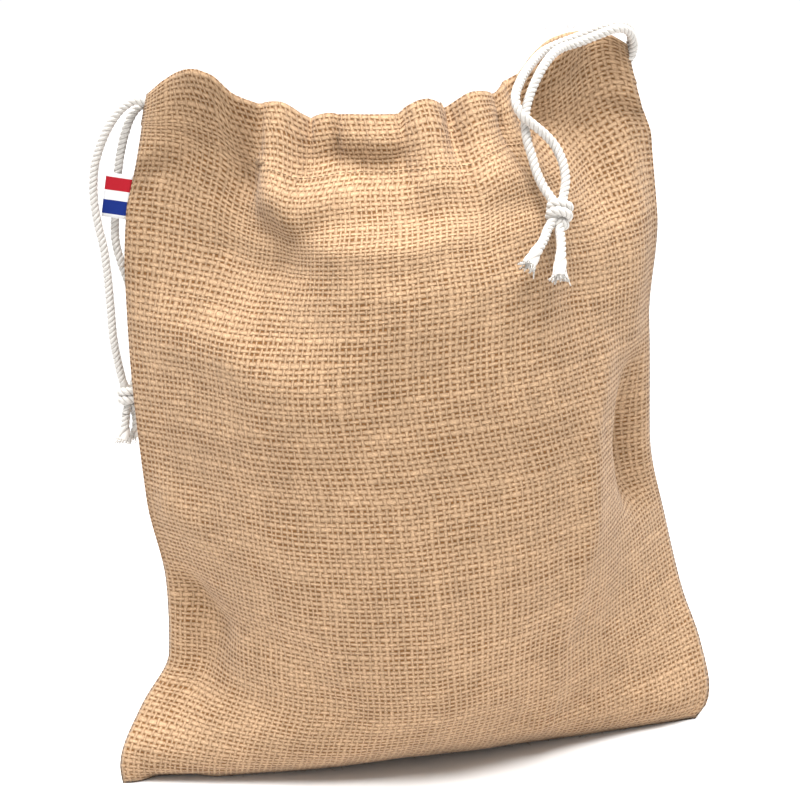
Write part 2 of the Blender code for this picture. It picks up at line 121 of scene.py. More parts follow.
# The middle line of the front and of the back, in mm, and the share of each half that is flat.
# A height under 0 is pressed flat on the surface below.
Face = namedtuple("Face", "up front_y front_z back_y back_z flat_left flat_right")
FACES = [
    Face(0, -3, -1, -3, -2, 0.60, 0.35),
    Face(14, -16, 5.2, 10, -2, 0.64, 0.45),
    Face(24, -24.5, 10.8, 19, -2, 0.60, 0.45),
    Face(40, -36, 21.5, 32, 6, 0.52, 0.30),
    Face(70, -49, 45.5, 42, 34, 0.40, 0.30),
    Face(110, -59.5, 84, 50, 73, 0.35, 0.50),
    Face(160, -66, 132, 56, 122, 0.30, 0.70),
    Face(220, -67, 191, 57, 181, 0.45, 0.72),
    Face(255, -61, 225, 53, 215, 0.50, 0.64),
    Face(285, -48, 250, 43, 240, 0.45, 0.52),
    Face(310, -31, 266, 28, 258, 0.35, 0.42),
    Face(328, -23, 281, 19, 273, 0.30, 0.30),
    Face(345, -14, 295, 20, 288, 0.30, 0.30),
    Face(360, -5, 307, 21, 300, 0.30, 0.30),
]

# How high the mouth's edge is along each face, from the left seam (0) to the right seam (1), in mm
Rim = namedtuple("Rim", "along front back")
RIM = [
    Rim(0.00, 321, 320),
    Rim(0.04, 326, 325),
    Rim(0.08, 330, 328),
    Rim(0.12, 331.5, 327),
    Rim(0.16, 329, 320),
    Rim(0.20, 319, 309),
    Rim(0.24, 313, 303),
    Rim(0.28, 311, 300),
    Rim(0.33, 305, 297),
    Rim(0.39, 306, 296),
    Rim(0.50, 305, 296),
    Rim(0.56, 307, 297),
    Rim(0.61, 305, 298),
    Rim(0.65, 308.5, 300),
    Rim(0.70, 309, 304),
    Rim(0.74, 313, 308.5),
    Rim(0.80, 322, 326.5),
    Rim(0.85, 327, 333),
    Rim(0.90, 332, 335),
    Rim(0.95, 334, 334),
    Rim(1.00, 328, 328),
]

# Rounded columns of the gathers, between the shares of the width where each one starts and ends:
# how far out its crest stands, how much the mouth's edge rises there, and how far down the cloth
# it runs, all in mm
Column = namedtuple("Column", "start end out rises reach")
FRONT_COLUMNS = [
    Column(0.236, 0.330, 10.5, 3, 66),
    Column(0.330, 0.386, 7.5, 2, 50),
    Column(0.386, 0.436, 5, 0.5, 44),
    Column(0.436, 0.510, 5, 0.5, 44),
    Column(0.510, 0.606, 10.5, 4.5, 70),
    Column(0.606, 0.706, 10, 4, 62),
    Column(0.706, 0.752, 4.5, 1.5, 50),
]
BACK_COLUMNS = [
    Column(0.21, 0.27, 3.5, 1, 60),
    Column(0.27, 0.35, 6, 2, 66),
    Column(0.35, 0.41, 4, 1, 50),
    Column(0.41, 0.50, 6.5, 2.5, 60),
    Column(0.50, 0.56, 4, 1, 50),
    Column(0.56, 0.65, 6.5, 2, 66),
    Column(0.65, 0.71, 4, 1, 50),
    Column(0.71, 0.78, 5, 1.5, 60),
]

# Soft folds of each face: the half width, and points along the fold, each a share of the width,
# how far up the cloth it is, and how far out the fold stands there, in mm
Fold = namedtuple("Fold", "wide bends")
Bend = namedtuple("Bend", "along up out")
FRONT_FOLDS = [
    # The left ear leans out, and its flap swells below
    Fold(24, [Bend(0.06, 364, 7), Bend(0.15, 364, 15)]),
    Fold(13, [Bend(0.06, 290, -2), Bend(0.20, 286, -5), Bend(0.33, 272, -2)]),
    Fold(15, [Bend(0.05, 250, 2), Bend(0.22, 240, 5), Bend(0.38, 222, 2)]),
    # The shoulder under the gathers, with a hollow over it and one at its left
    Fold(10, [Bend(0.37, 338, -5), Bend(0.43, 334, -9), Bend(0.50, 334, -8)]),
    Fold(11, [
        Bend(0.25, 322, 1), Bend(0.32, 310, 4), Bend(0.40, 295, 5), Bend(0.52, 290, 4),
        Bend(0.60, 298, 2),
    ]),
    Fold(12, [Bend(0.20, 320, -1), Bend(0.25, 304, -3), Bend(0.31, 286, -4), Bend(0.38, 270, -2)]),
    Fold(13, [Bend(0.64, 318, 4), Bend(0.70, 320, 3)]),
    Fold(5, [Bend(0.615, 358, -4), Bend(0.60, 340, -2)]),
    Fold(8, [Bend(0.750, 360, -11), Bend(0.785, 330, -10)]),
    Fold(6, [Bend(0.226, 360, -4), Bend(0.222, 322, -5)]),
    # The right ear leans out, and its flap swells below
    Fold(22, [Bend(0.86, 364, 8), Bend(0.92, 364, 1)]),
    Fold(12, [Bend(0.83, 322, -4), Bend(0.92, 320, -3)]),
    # The right side is drawn in at the seam beside a long ridge
    Fold(13, [Bend(0.93, 196, -8), Bend(0.92, 172, -19), Bend(0.93, 142, -11)]),
    Fold(8, [
        Bend(0.84, 217, 2), Bend(0.79, 190, 3), Bend(0.76, 139, 3), Bend(0.71, 95, 2),
        Bend(0.68, 30, 2),
    ]),
    # The left side is drawn in above the corner
    Fold(16, [Bend(0.05, 160, 3), Bend(0.10, 150, 3)]),
    Fold(13, [Bend(0.05, 106, -9), Bend(0.09, 92, -9), Bend(0.07, 72, -6), Bend(0.06, 46, -2)]),
    Fold(12, [Bend(0.12, 104, -2), Bend(0.28, 92, -3), Bend(0.35, 52, -2)]),
    # The base's front edge is lifted in its middle, and beside the left corner
    Fold(9, [Bend(0.44, 0, -6), Bend(0.53, 0, -7), Bend(0.64, 0, -3)]),
    Fold(7, [Bend(0.06, 0, -6), Bend(0.12, 0, -5)]),
    Fold(14, [Bend(0.80, 14, 1), Bend(0.90, 14, 3), Bend(0.95, 14, 2)]),
]
BACK_FOLDS = [
    Fold(22, [Bend(0.08, 364, 5), Bend(0.14, 364, 7)]),
    Fold(12, [Bend(0.12, 292, -3), Bend(0.26, 280, -4)]),
    Fold(14, [Bend(0.16, 256, 2), Bend(0.34, 236, 3)]),
    Fold(11, [Bend(0.36, 300, 4), Bend(0.60, 298, 4)]),
    Fold(11, [Bend(0.70, 300, -3), Bend(0.80, 270, -4), Bend(0.86, 232, -2)]),
    Fold(20, [Bend(0.88, 364, 6), Bend(0.93, 364, 5)]),
    Fold(12, [Bend(0.92, 170, -5), Bend(0.93, 140, -4)]),
    Fold(10, [Bend(0.20, 200, 2), Bend(0.26, 150, 3), Bend(0.24, 90, 2)]),
    Fold(12, [Bend(0.08, 112, -4), Bend(0.16, 92, -3), Bend(0.30, 70, -2)]),
    Fold(12, [Bend(0.66, 120, 2), Bend(0.74, 84, 3), Bend(0.80, 50, 2)]),
    Fold(9, [Bend(0.44, 0, 6), Bend(0.53, 0, 7), Bend(0.64, 0, 3)]),
    Fold(7, [Bend(0.06, 0, 6), Bend(0.12, 0, 5)]),
]

# How far the front swells out of its plain section, in mm, by height and by share of the width.
# It is 0 at both seams.
Swell = namedtuple(
    "Swell", "up at_06 at_12 at_20 at_28 at_36 at_45 at_55 at_62 at_70 at_78 at_86 at_93"
)
SWELLS = [
    Swell(60, 0, 0, 0, 0, 0, 0, 0, 0, 0, 0, 0, 0),
    Swell(120, 0, 1, 3, 3, 1, 0, 0, 1, 2, 3, 0, 0),
    Swell(180, 0, 0, 1, 1, 0, 0, 0, 0, 0, 1, 0, 0),
    Swell(200, 0, 0, 0, 0, 0, 0, 0, 0, 0, 0, 0, 1),
    Swell(225, -1, -3, -4, -4, -3, -1, 0, 0, -1, -2, -1, 2),
    Swell(250, -3, -6, -8, -10, -6, 1, 4, 2, 0, -6, -1, 3),
    Swell(270, -4, -8, -11, -10, -3, 4, 6, 5, 2, -3, -1, 3),
    Swell(300, -2, -5, -7, -3, 1, 6, 9, 10, 9, 3.5, -4, 1),
    Swell(320, -1, -5, -6, 4, 10, 4, 9, 11, 11, 2, -5, -1),
    Swell(340, -1, -3, -1, -3, -6, 2, 4, 3, 1, -4, -6, -5),
    Swell(360, -2, 3, 3, -7, -6, 1, 0, -2, -2, -3, -3, -6),
]

# How far the cloth is pulled from an even spread, by height in mm and by share of the width.
# Threads that run up drift sideways, as shares of the width. Threads that run across rise, in mm.
Drift = namedtuple("Drift", "up at_08 at_20 at_35 at_50 at_65 at_80 at_92")
DRIFTS = [
    Drift(200, 0, 0, 0, 0, 0, 0, 0),
    Drift(250, 0.002, 0.006, 0.004, 0, -0.002, -0.008, -0.006),
    Drift(290, 0.012, 0.032, 0.014, 0, -0.010, -0.030, -0.022),
    Drift(320, 0.022, 0.040, 0.014, 0, -0.008, -0.050, -0.036),
    Drift(345, 0.012, 0.018, 0.004, 0, -0.002, -0.046, -0.038),
    Drift(360, 0, 0, 0, 0, 0, -0.032, -0.028),
]
Rise = namedtuple("Rise", "up at_00 at_06 at_12 at_18 at_25 at_35 at_60 at_72 at_85 at_100")
RISES = [
    Rise(120, 0, 0, 0, 0, 0, 0, 0, 0, 0, 0),
    Rise(180, 1, 1, 1, 1, 0, 0, 0, 0, -1, -2),
    Rise(220, 4, 4, 4, 3, 1, 0, 0, 0, -1, -3),
    Rise(260, 10, 7, 5, 3, 1, 0, 0, 1, -3, -4),
    Rise(290, 16, 10, 5, 3, 1, 0, 0, 3, -4, -2),
    Rise(320, 16, 7, 0, -1, 0, 0, 0, 4, -4, 3),
    Rise(342, 8, 1, -4, -3, 0, 0, 0, 2, -4, 5),
    Rise(360, 0, 0, 0, 0, 0, 0, 0, 0, 0, 0),
]
PLEAT_GIVE = 0.4  # how much of a pleat's extra length is cloth drawn from beside it

# Routes of the free cords, in mm: from a mouth of the casing to a knot
CORD_ROUTES = {
    "cord_right_over": [
        (105, 20.6, 318.5), (109, 20.8, 321.5), (112.2, 20.2, 325), (113.4, 18.6, 329.6),
        (112.8, 15.6, 334), (109.6, 12.4, 336.9), (104, 9, 337.4), (95.5, 7.8, 336),
        (87.5, 7.2, 333.4), (79, 6.6, 331), (71, 4, 328),
        (64, -5.5, 323.4), (57.6, -17, 317.6), (53.4, -27, 311), (54.5, -31, 304.5),
        (59.5, -31, 299.4), (65.2, -30, 294), (69.4, -30.4, 288.4), (71.8, -33, 281.4),
        (72, -36.4, 274.4), (70.2, -39.6, 268),
    ],
    "cord_right_under": [
        (105, 14.4, 316.5), (109, 14.4, 319.6), (112.4, 14, 323), (113.4, 12.2, 328),
        (111.6, 9.4, 332.8), (108.4, 6.8, 335.2), (103.5, 4.4, 335.6), (95, 3.4, 333.4),
        (87, 2.4, 331), (79.5, 0, 329.4), (73.8, -6.6, 327.2),
        (67, -14.4, 321), (60.8, -20, 311.2), (57.6, -25, 302.8), (57, -29.4, 293.6),
        (58.6, -32, 285.4), (60, -35, 278.4), (62.2, -37.4, 272.4), (65, -40, 267.6),
    ],
    "cord_left_outer": [
        (-104, 14.2, 318), (-111, 14, 319), (-114.6, 13.6, 318.4), (-120.5, 13.2, 314.2),
        (-127, 13.2, 305.5), (-132.4, 14, 294), (-134.6, 14.3, 284), (-135.2, 14.5, 274),
        (-134.4, 14.7, 264),
        (-133.2, 15, 254), (-132.8, 15.3, 242), (-133, 15.9, 228), (-133.4, 16.9, 212),
        (-132.6, 18.5, 200), (-131.4, 19.5, 190.6),
    ],
    "cord_left_inner": [
        (-105, 19.8, 317.5), (-110.4, 19.6, 316.4), (-113.6, 19.4, 314), (-116.8, 19.2, 309),
        (-120.4, 19.6, 300), (-123.4, 20.7, 289), (-125.4, 20.9, 277), (-127.4, 20.8, 265.5),
        (-128, 20.5, 255),
        (-126, 20.3, 244), (-123, 20.9, 231), (-121.6, 21.4, 217), (-122.2, 21.4, 203),
        (-125.6, 21, 191),
    ],
}

# The loose ends below each knot, in mm, from the knot to a cut end
TAIL_ROUTES = {
    "tail_right_1": [
        (61.4, -48, 255.4), (58.8, -52.6, 251.6), (54.6, -58, 247.6), (50.8, -62, 243.2),
    ],
    "tail_right_2": [
        (66.8, -47.2, 254.8), (66.4, -52, 249.2), (65, -57, 243), (63.8, -61, 237.2),
    ],
    "tail_left_1": [
        (-131.4, 18, 175.2), (-132, 18, 171.5), (-132.8, 18, 167.5), (-133.4, 17.8, 163.4),
    ],
    "tail_left_2": [
        (-127.2, 20.4, 175.2), (-127.2, 21, 171.5), (-127.4, 21.6, 167.5), (-127.8, 22, 163.6),
    ],
}

# Each knot's middle, in mm, and the cords and tails that meet in it
Knot = namedtuple("Knot", "x y z cords tails")
KNOTS = {
    "knot_right": Knot(
        67.6, -43.2, 261.4,
        ("cord_right_over", "cord_right_under"), ("tail_right_1", "tail_right_2"),
    ),
    "knot_left": Knot(
        -129, 19.6, 182.8,
        ("cord_left_outer", "cord_left_inner"), ("tail_left_1", "tail_left_2"),
    ),
}

# Twisted cord
STRANDS = 3
STRAND_SIDES = 6
STRAND_SPREAD = 0.30  # of the cord's radius, from its middle line to a strand's
STRAND_RADIUS = 0.75
LAY_LENGTH = 7.2 * MM  # along the cord, in which a strand goes once round it
RING_STEP = 0.5 * MM
ROPE_WELD = 0.005 * MM  # joins the grid's first and last columns
CURVE_STEPS = 16  # between two points of a route

# Sewing and loose fibres
STITCH_LENGTH = 3.2 * MM
STITCH_THICK = 0.45 * MM
STITCH_SIDES = 5
STITCH_AT = 331.5 * MM  # up the cloth, where the hem of the casing is sewn down
THREAD_TIP = 0.3  # of a thread's thickness, at each of its ends
FIBRE_THICK = 0.11 * MM
FIBRE_SIDES = 3
FACE_FIBRES = 420
EDGE_FIBRES = 150  # for each face, along each of the mouth, the base and the pair of side seams

# The ribbon tab in the left side seam
TAB_AT = (-120.6, 17, 276)  # the middle of its sewn edge, in mm
TAB_TILT = 0.22  # radians, its free end higher


def size_property(name, description, default):
    """A length that a user can change."""
    return FloatProperty(
        name=name, description=description, default=default, unit="LENGTH", precision=4
    )


def colour_property(name, description, default):
    """A colour that a user can change."""
    return FloatVectorProperty(
        name=name, description=description, default=default, subtype="COLOR", min=0, max=1
    )


class SackSizes(bpy.types.PropertyGroup):
    cloth_width: size_property("Cloth width", "Width of the flat sack, seam to seam", 0.300)
    cloth_height: size_property("Cloth height", "From the base fold to the mouth's fold", 0.360)
    cloth_thick: size_property("Cloth thickness", "Thickness of the burlap", 0.0012)
    seam_top: size_property("Seam top", "How far up the side seams are sewn", 0.318)
    casing: size_property("Casing depth", "Depth of the hem that holds the drawcords", 0.028)
    warp_pitch: size_property("Warp pitch", "Spacing of the threads that run up it", 0.0027)
    weft_pitch: size_property("Weft pitch", "Spacing of the threads that run across it", 0.0025)
    cord_thick: size_property("Cord thickness", "Diameter of the twisted cotton cord", 0.004)
    tab_height: size_property("Tab height", "Width of the ribbon, up the side seam", 0.020)
    tab_reach: size_property("Tab reach", "How far the folded ribbon stands out of the seam", 0.010)


class SackColours(bpy.types.PropertyGroup):
    # In the burlap, pale jute is a painted highlight along each thread's crest and mid jute is the
    # painted shade on its sides. The loose fibres use both as plain tones.
    jute_pale_and_crest_highlight: colour_property("Pale jute", "Top of a thread", (0.437, 0.289, 0.173))
    jute_mid_and_side_shade: colour_property("Jute", "Side of a thread", (0.24, 0.145, 0.077))
    jute_gap: colour_property("Gap", "Shadowed gap between threads", (0.16, 0.072, 0.024))
    cotton: colour_property("Cotton", "Off-white of the cords", (0.66, 0.63, 0.59))
    # Painted shade in the grooves between the cord's strands
    cotton_groove_shade: colour_property("Cotton groove", "Between the strands", (0.36, 0.33, 0.30))
    ribbon_white: colour_property("Ribbon white", "White of the ribbon", (0.68, 0.68, 0.69))
    ribbon_red: colour_property("Ribbon red", "Red band of the ribbon", (0.37, 0.008, 0.018))
    ribbon_blue: colour_property("Ribbon blue", "Blue band of the ribbon", (0.004, 0.02, 0.165))
    floor: colour_property("Floor", "Pale floor under the sack", (0.8, 0.8, 0.8))


class StudioLook(bpy.types.PropertyGroup):
    key_light: FloatProperty(name="Key light", description="Strength of the key light", default=9.0)
    key_softness: FloatProperty(
        name="Key softness", description="How wide the light looks", default=0.9, subtype="ANGLE"
    )
    overhead: FloatProperty(
        name="Overhead", description="Strength of the surround above", default=0.55
    )
    backdrop: FloatProperty(
        name="Backdrop", description="Strength of the surround low down", default=1.03
    )


# ---------------------------------------------------------------- shape of the cloth


def smooth_step(start, end, at):
    t = np.clip((np.asarray(at, float) - start) / (end - start), 0, 1)
    return t * t * (3 - 2 * t)


def smooth_line(places, values, at):
    """A smooth curve with no overshoot through these values, read at one or more places."""
    places, values = np.array(places, float), np.array(values, float)
    steps = np.diff(places)
    rises = np.diff(values) / steps
    product = rises[:-1] * rises[1:]
    total = rises[:-1] + rises[1:]
    inner = np.where(product > 0, 2 * product / np.where(product > 0, total, 1), 0)
    slopes = np.concatenate([rises[:1], inner, rises[-1:]])
    at = np.clip(at, places[0], places[-1])
    i = np.clip(np.searchsorted(places, at, side="right") - 1, 0, len(steps) - 1)
    t = (at - places[i]) / steps[i]
    start = (1 + 2 * t) * (1 - t) ** 2 * values[i] + t * (1 - t) ** 2 * steps[i] * slopes[i]
    end = t * t * (3 - 2 * t) * values[i + 1] - t * t * (1 - t) * steps[i] * slopes[i + 1]
    return start + end


def ease(rows, column, at):
    """A smooth curve through one column of a table."""
    return smooth_line([row[0] for row in rows], [getattr(row, column) for row in rows], at)


def read_table(rows, shares, up):
    """A table of heights by shares of the width, read at one height.

    A column's name ends with its share in hundredths. Seams that have no column are 0.
    """
    columns = rows[0]._fields[1:]
    places = [int(name.removeprefix("at_")) / 100 for name in columns]
    values = [float(ease(rows, name, up / MM)) for name in columns]
    if places[0] > 0:
        places = [0, *places, 1]
        values = [0, *values, 0]
    return smooth_line(places, values, shares)


def bulge(away, flat):
    """1 at the middle of a face, falling to 0 at its seam once past the flat share."""

    def ramp(t):
        return ROUNDING * np.log1p(np.exp((t - flat) / ROUNDING))

    return 1 - (ramp(away) - ramp(0)) / (ramp(1) - ramp(0))


def plain_section(up, front):
    """One face's smooth section at a height up the cloth, from the left seam to the right."""
    height = up / MM
    left = np.array([ease(SEAMS, name, height) for name in ("left_x", "left_y", "left_z")])
    right = np.array([ease(SEAMS, name, height) for name in ("right_x", "right_y", "right_z")])
    side = "front" if front else "back"
    across = -np.cos(pi * np.linspace(0, 1, SECTION_POINTS + 1))
    left_flat, right_flat = ease(FACES, "flat_left", height), ease(FACES, "flat_right", height)
    flat = np.where(across < 0, left_flat, right_flat)
    middle = (left + right) / 2
    outward = np.array([0, ease(FACES, side + "_y", height), ease(FACES, side + "_z", height)])
    outward[1:] -= middle[1:]
    points = middle + np.outer(across, right - middle)
    return (points + np.outer(bulge(np.abs(across), flat), outward)) * MM


@lru_cache(maxsize=None)
def mouth_heights(height, front):
    """How high the plain section is along the mouth of a cloth of this height."""
    return plain_section(height, front)[:, 2]


def shares_along(points):
    """How far along the line each point is, from 0 to 1."""
    steps = np.linalg.norm(np.diff(points, axis=0), axis=1)
    lengths = np.concatenate([[0], np.cumsum(steps)])
    return lengths / lengths[-1]


def fold_height(fold, shares, up):
    """How far out one soft fold stands along a section, in mm."""
    spots = np.array([(bend.along * WIDE, bend.up, bend.out) for bend in fold.bends], float)
    x = shares * WIDE
    nearest = np.full(len(x), np.inf)
    height = np.zeros(len(x))
    for start, end in zip(spots[:-1], spots[1:]):
        run = end[:2] - start[:2]
        t = np.clip(((x - start[0]) * run[0] + (up - start[1]) * run[1]) / (run @ run), 0, 1)
        away = np.hypot(x - start[0] - t * run[0], up - start[1] - t * run[1])
        closer = away < nearest
        nearest = np.where(closer, away, nearest)
        height = np.where(closer, start[2] + t * (end[2] - start[2]), height)
    return height * np.exp(-((nearest / fold.wide) ** 2))


def section(up, front, height, seam_top):
    """A section of the cloth with its folds, gathers, ears and side slits, and its plain shares."""
    points = plain_section(up, front)
    shares = shares_along(points)
    side = "front" if front else "back"
    toward = -1 if front else 1
    tangent = np.gradient(points, axis=0)
    outward = np.stack([tangent[:, 1], -tangent[:, 0], np.zeros(len(points))], axis=1)
    outward *= -toward / np.linalg.norm(outward, axis=1)[:, None]
    offset = np.zeros(len(points))
    raised = np.zeros(len(points))
    for column in FRONT_COLUMNS if front else BACK_COLUMNS:
        t = (2 * shares - column.start - column.end) / (column.end - column.start)
        low = height - column.reach * MM
        fade = smooth_step(low, height - COLUMN_TOP, up)
        hump = np.maximum(1 - t * t, 0) ** COLUMN_GROOVE
        offset += column.out * MM * fade * (hump - COLUMN_SINKS * (np.abs(t) < 1))
        raised += column.rises * MM * hump
    for fold in FRONT_FOLDS if front else BACK_FOLDS:
        offset += fold_height(fold, shares, up / MM) * MM
    if front:
        offset += read_table(SWELLS, shares, up) * MM
    from_seam = np.minimum(shares, 1 - shares)
    offset *= smooth_step(0, SEAM_PINCH, from_seam)
    rise = smooth_step(RIM_STARTS, height, up)
    lift = rise * (ease(RIM, side, shares) * MM - mouth_heights(height, front))
    lift += raised * smooth_step(height - COLUMN_LIFT, height, up)
    slit = SIDE_SLIT * smooth_step(seam_top, seam_top + SLIT_OPENS, up)
    shaped = points + outward * offset[:, None]
    shaped[:, 1] += toward * slit * (1 - smooth_step(0, SLIT_SHARE, from_seam))
    shaped[:, 2] += lift
    return shaped, shares


def even_points(points, shares_wanted, plain_shares=None):
    """Points on the line at these shares of its length, or nearer to its plain shares."""
    shares = shares_along(points)
    if plain_shares is not None:
        shares = PLEAT_GIVE * shares + (1 - PLEAT_GIVE) * plain_shares
    return np.stack([np.interp(shares_wanted, shares, points[:, i]) for i in range(3)], axis=1)


def column_shares(width):
    """The grid's columns as shares of the cloth's width: wide on the ears, close in the gathers."""
    ear = EAR_CLOTH / width
    left = np.linspace(0, ear, EAR_COLUMNS + 1)
    middle = np.linspace(ear, 1 - ear, GATHER_COLUMNS + 1)
    return np.concatenate([left[:-1], middle, 1 - left[-2::-1]])


def cloth_face(front, sizes):
    """Points and flat heights of one face: up it, over the fold at the mouth and down inside."""
    shares = column_shares(sizes.cloth_width)
    inward = 1 if front else -1
    height = sizes.cloth_height
    near_seam = 1 - smooth_step(0, TUNNEL_WIDENS, np.minimum(shares, 1 - shares))
    tunnel = TUNNEL_AT_GATHERS + (TUNNEL_AT_SEAM - TUNNEL_AT_GATHERS) * near_seam

    levels = np.arange(0, height + LEVEL_STEP / 2, LEVEL_STEP)
    sheet = []
    for level in levels:
        drift = read_table(DRIFTS, shares, level) if front else 0
        shaped, plain_shares = section(level, front, height, sizes.seam_top)
        sheet.append(even_points(shaped, shares + drift, plain_shares))
    sheet = np.array(sheet)
    columns = np.arange(len(shares))

    def row(up, moved_in=0.0, lifted=0.0):
        rise = read_table(RISES, shares, up) * MM * (1 if front else BACK_RISE)
        place = np.clip((up + rise) / LEVEL_STEP, 0, len(levels) - 1 - INSIDE_GRID)
        below = place.astype(int)
        part = (place - below)[:, None]
        points = sheet[below, columns] * (1 - part) + sheet[below + 1, columns] * part
        points[:, 1] += inward * moved_in * tunnel
        points[:, 2] += lifted
        points[:, 2] = np.maximum(points[:, 2], 0)
        return points

    body = np.arange(0, CASING_ROWS_FROM, ROW_STEP)
    casing = np.arange(CASING_ROWS_FROM, height - CASING_ROW_STEP / 2, CASING_ROW_STEP)
    ups = np.concatenate([body, casing])
    rows = [row(up) for up in ups]
    flat = list(ups)
    for i in range(FOLD_STEPS):
        turn = (i + 0.5) / FOLD_STEPS
        rows.append(row(height, (1 - cos(pi * turn)) / 2, sin(pi * turn) * FOLD_STANDS))
        flat.append(height + turn * FOLD_CLOTH)
    for down in np.arange(HEM_ROW_STEP, sizes.casing, HEM_ROW_STEP):
        closing = smooth_step(HEM_CLOSES_FROM * sizes.casing, sizes.casing, down)
        rows.append(row(height - down, 1 - HEM_CLOSES_BY * closing))
        flat.append(height + down)
    return np.array(rows), np.array(flat)


# ---------------------------------------------------------------- meshes


def grid_into(mesh, points, marks):
    """Adds a grid to a bmesh, its vertices moved to these points and its map to these marks."""
    rows, columns = points.shape[:2]
    made = bmesh.ops.create_grid(mesh, x_segments=columns - 1, y_segments=rows - 1, size=1)["verts"]
    layer = mesh.loops.layers.uv.get(FLAT_MAP) or mesh.loops.layers.uv.new(FLAT_MAP)
    spots = {}
    for vertex in made:
        column = round((vertex.co.x + 1) / 2 * (columns - 1))
        row = round((vertex.co.y + 1) / 2 * (rows - 1))
        vertex.co = points[row, column]
        spots[vertex] = (row, column)
    for face in {face for vertex in made for face in vertex.link_faces}:
        for loop in face.loops:
            loop[layer].uv = marks[spots[loop.vert]]
    return made


def object_from(mesh, name, material, node=None):
    """Ends a bmesh as an object that rides on the sack, in place of a node where one is named."""
    data = bpy.data.meshes.new(name)
    mesh.to_mesh(data)
    mesh.free()
    data.materials.append(material)
    data.shade_smooth()
    thing = bpy.data.objects.new(name, data)
    bpy.context.scene.collection.objects.link(thing)
    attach(thing, BODY)
    if node:
        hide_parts(node)
    return thing


# ---------------------------------------------------------------- twisted cord


def smooth_route(route, step=RING_STEP):
    """Points at an even spacing on a smooth curve through the route, which is in mm."""
    points = np.array(route, float) * MM
    ends = np.vstack([2 * points[0] - points[1], points, 2 * points[-1] - points[-2]])
    curve = []
    for before, start, end, after in zip(ends, ends[1:], ends[2:], ends[3:]):
        for t in np.linspace(0, 1, CURVE_STEPS, endpoint=False):
            curve.append(
                0.5
                * (
                    2 * start
                    + (end - before) * t
                    + (2 * before - 5 * start + 4 * end - after) * t**2
                    + (3 * start - before - 3 * end + after) * t**3
                )
            )
    curve.append(points[-1])
    curve = np.array(curve)
    length = np.linalg.norm(np.diff(curve, axis=0), axis=1).sum()
    return even_points(curve, np.linspace(0, 1, max(4, round(length / step)) + 1))


def strand_outline(angles):
    """How far the strands' outline is from the cord's middle, as a share of its radius."""
    turn = 2 * pi / STRANDS
    off = (angles + turn / 2) % turn - turn / 2
    across = STRAND_SPREAD * np.sin(off)
    return STRAND_SPREAD * np.cos(off) + np.sqrt(STRAND_RADIUS**2 - across**2)


def carried_axes(path):
    """Two axes across the path at each point, carried along it without a twist."""
    tangents = np.gradient(path, axis=0)
    tangents /= np.linalg.norm(tangents, axis=1)[:, None]
    side = np.cross(tangents[0], (0, 1, 0.3))
    sides = []
    for tangent in tangents:
        side = side - tangent * (side @ tangent)
        side = side / np.linalg.norm(side)
        sides.append(side)
    sides = np.array(sides)
    return tangents, sides, np.cross(tangents, sides)


def rope_into(mesh, path, thick, swell=None, turns=None):
    """Adds a closed twisted cord along the path. Its map holds the place round it and along it."""
    _, sides, ups = carried_axes(path)
    steps = np.linalg.norm(np.diff(path, axis=0), axis=1)
    lengths = np.concatenate([[0], np.cumsum(steps)])
    if turns is None:
        turns = 2 * pi * lengths / LAY_LENGTH
    if swell is None:
        swell = np.ones((len(path), 2))
    angles = np.linspace(0, 2 * pi, STRANDS * STRAND_SIDES + 1)
    points, marks = [], []
    for centre, side, up, turn, grow, length in zip(path, sides, ups, turns, swell, lengths):
        outline = strand_outline(angles) * thick / 2
        points.append(
            centre
            + np.outer(outline * np.cos(angles + turn) * grow[0], side)
            + np.outer(outline * np.sin(angles + turn) * grow[1], up)
        )
        marks.append(np.stack([angles / (2 * pi), np.full(len(angles), length)], axis=1))
    made = grid_into(mesh, np.array(points), np.array(marks))
    bmesh.ops.remove_doubles(mesh, verts=made, dist=ROPE_WELD)


def close_ends(mesh):
    """Caps every open end and points all faces outwards."""
    rims = [edge for edge in mesh.edges if edge.is_boundary]
    bmesh.ops.holes_fill(mesh, edges=rims)
    bmesh.ops.recalc_face_normals(mesh, faces=mesh.faces)


def thread_into(mesh, points, thick, sides):
    """Adds a thin thread through these points, drawn in at both ends."""
    path = np.array(points)
    _, across, ups = carried_axes(path)
    angles = np.linspace(0, 2 * pi, sides + 1)
    rings = []
    for i, (centre, side, up) in enumerate(zip(path, across, ups)):
        radius = thick / 2 * (THREAD_TIP if i in (0, len(path) - 1) else 1)
        ring = centre + radius * (np.outer(np.cos(angles), side) + np.outer(np.sin(angles), up))
        rings.append([mesh.verts.new(point) for point in ring[:-1]])
    for low, high in zip(rings, rings[1:]):
        for i in range(sides):
            mesh.faces.new((low[i], low[(i + 1) % sides], high[(i + 1) % sides], high[i]))


# ---------------------------------------------------------------- materials


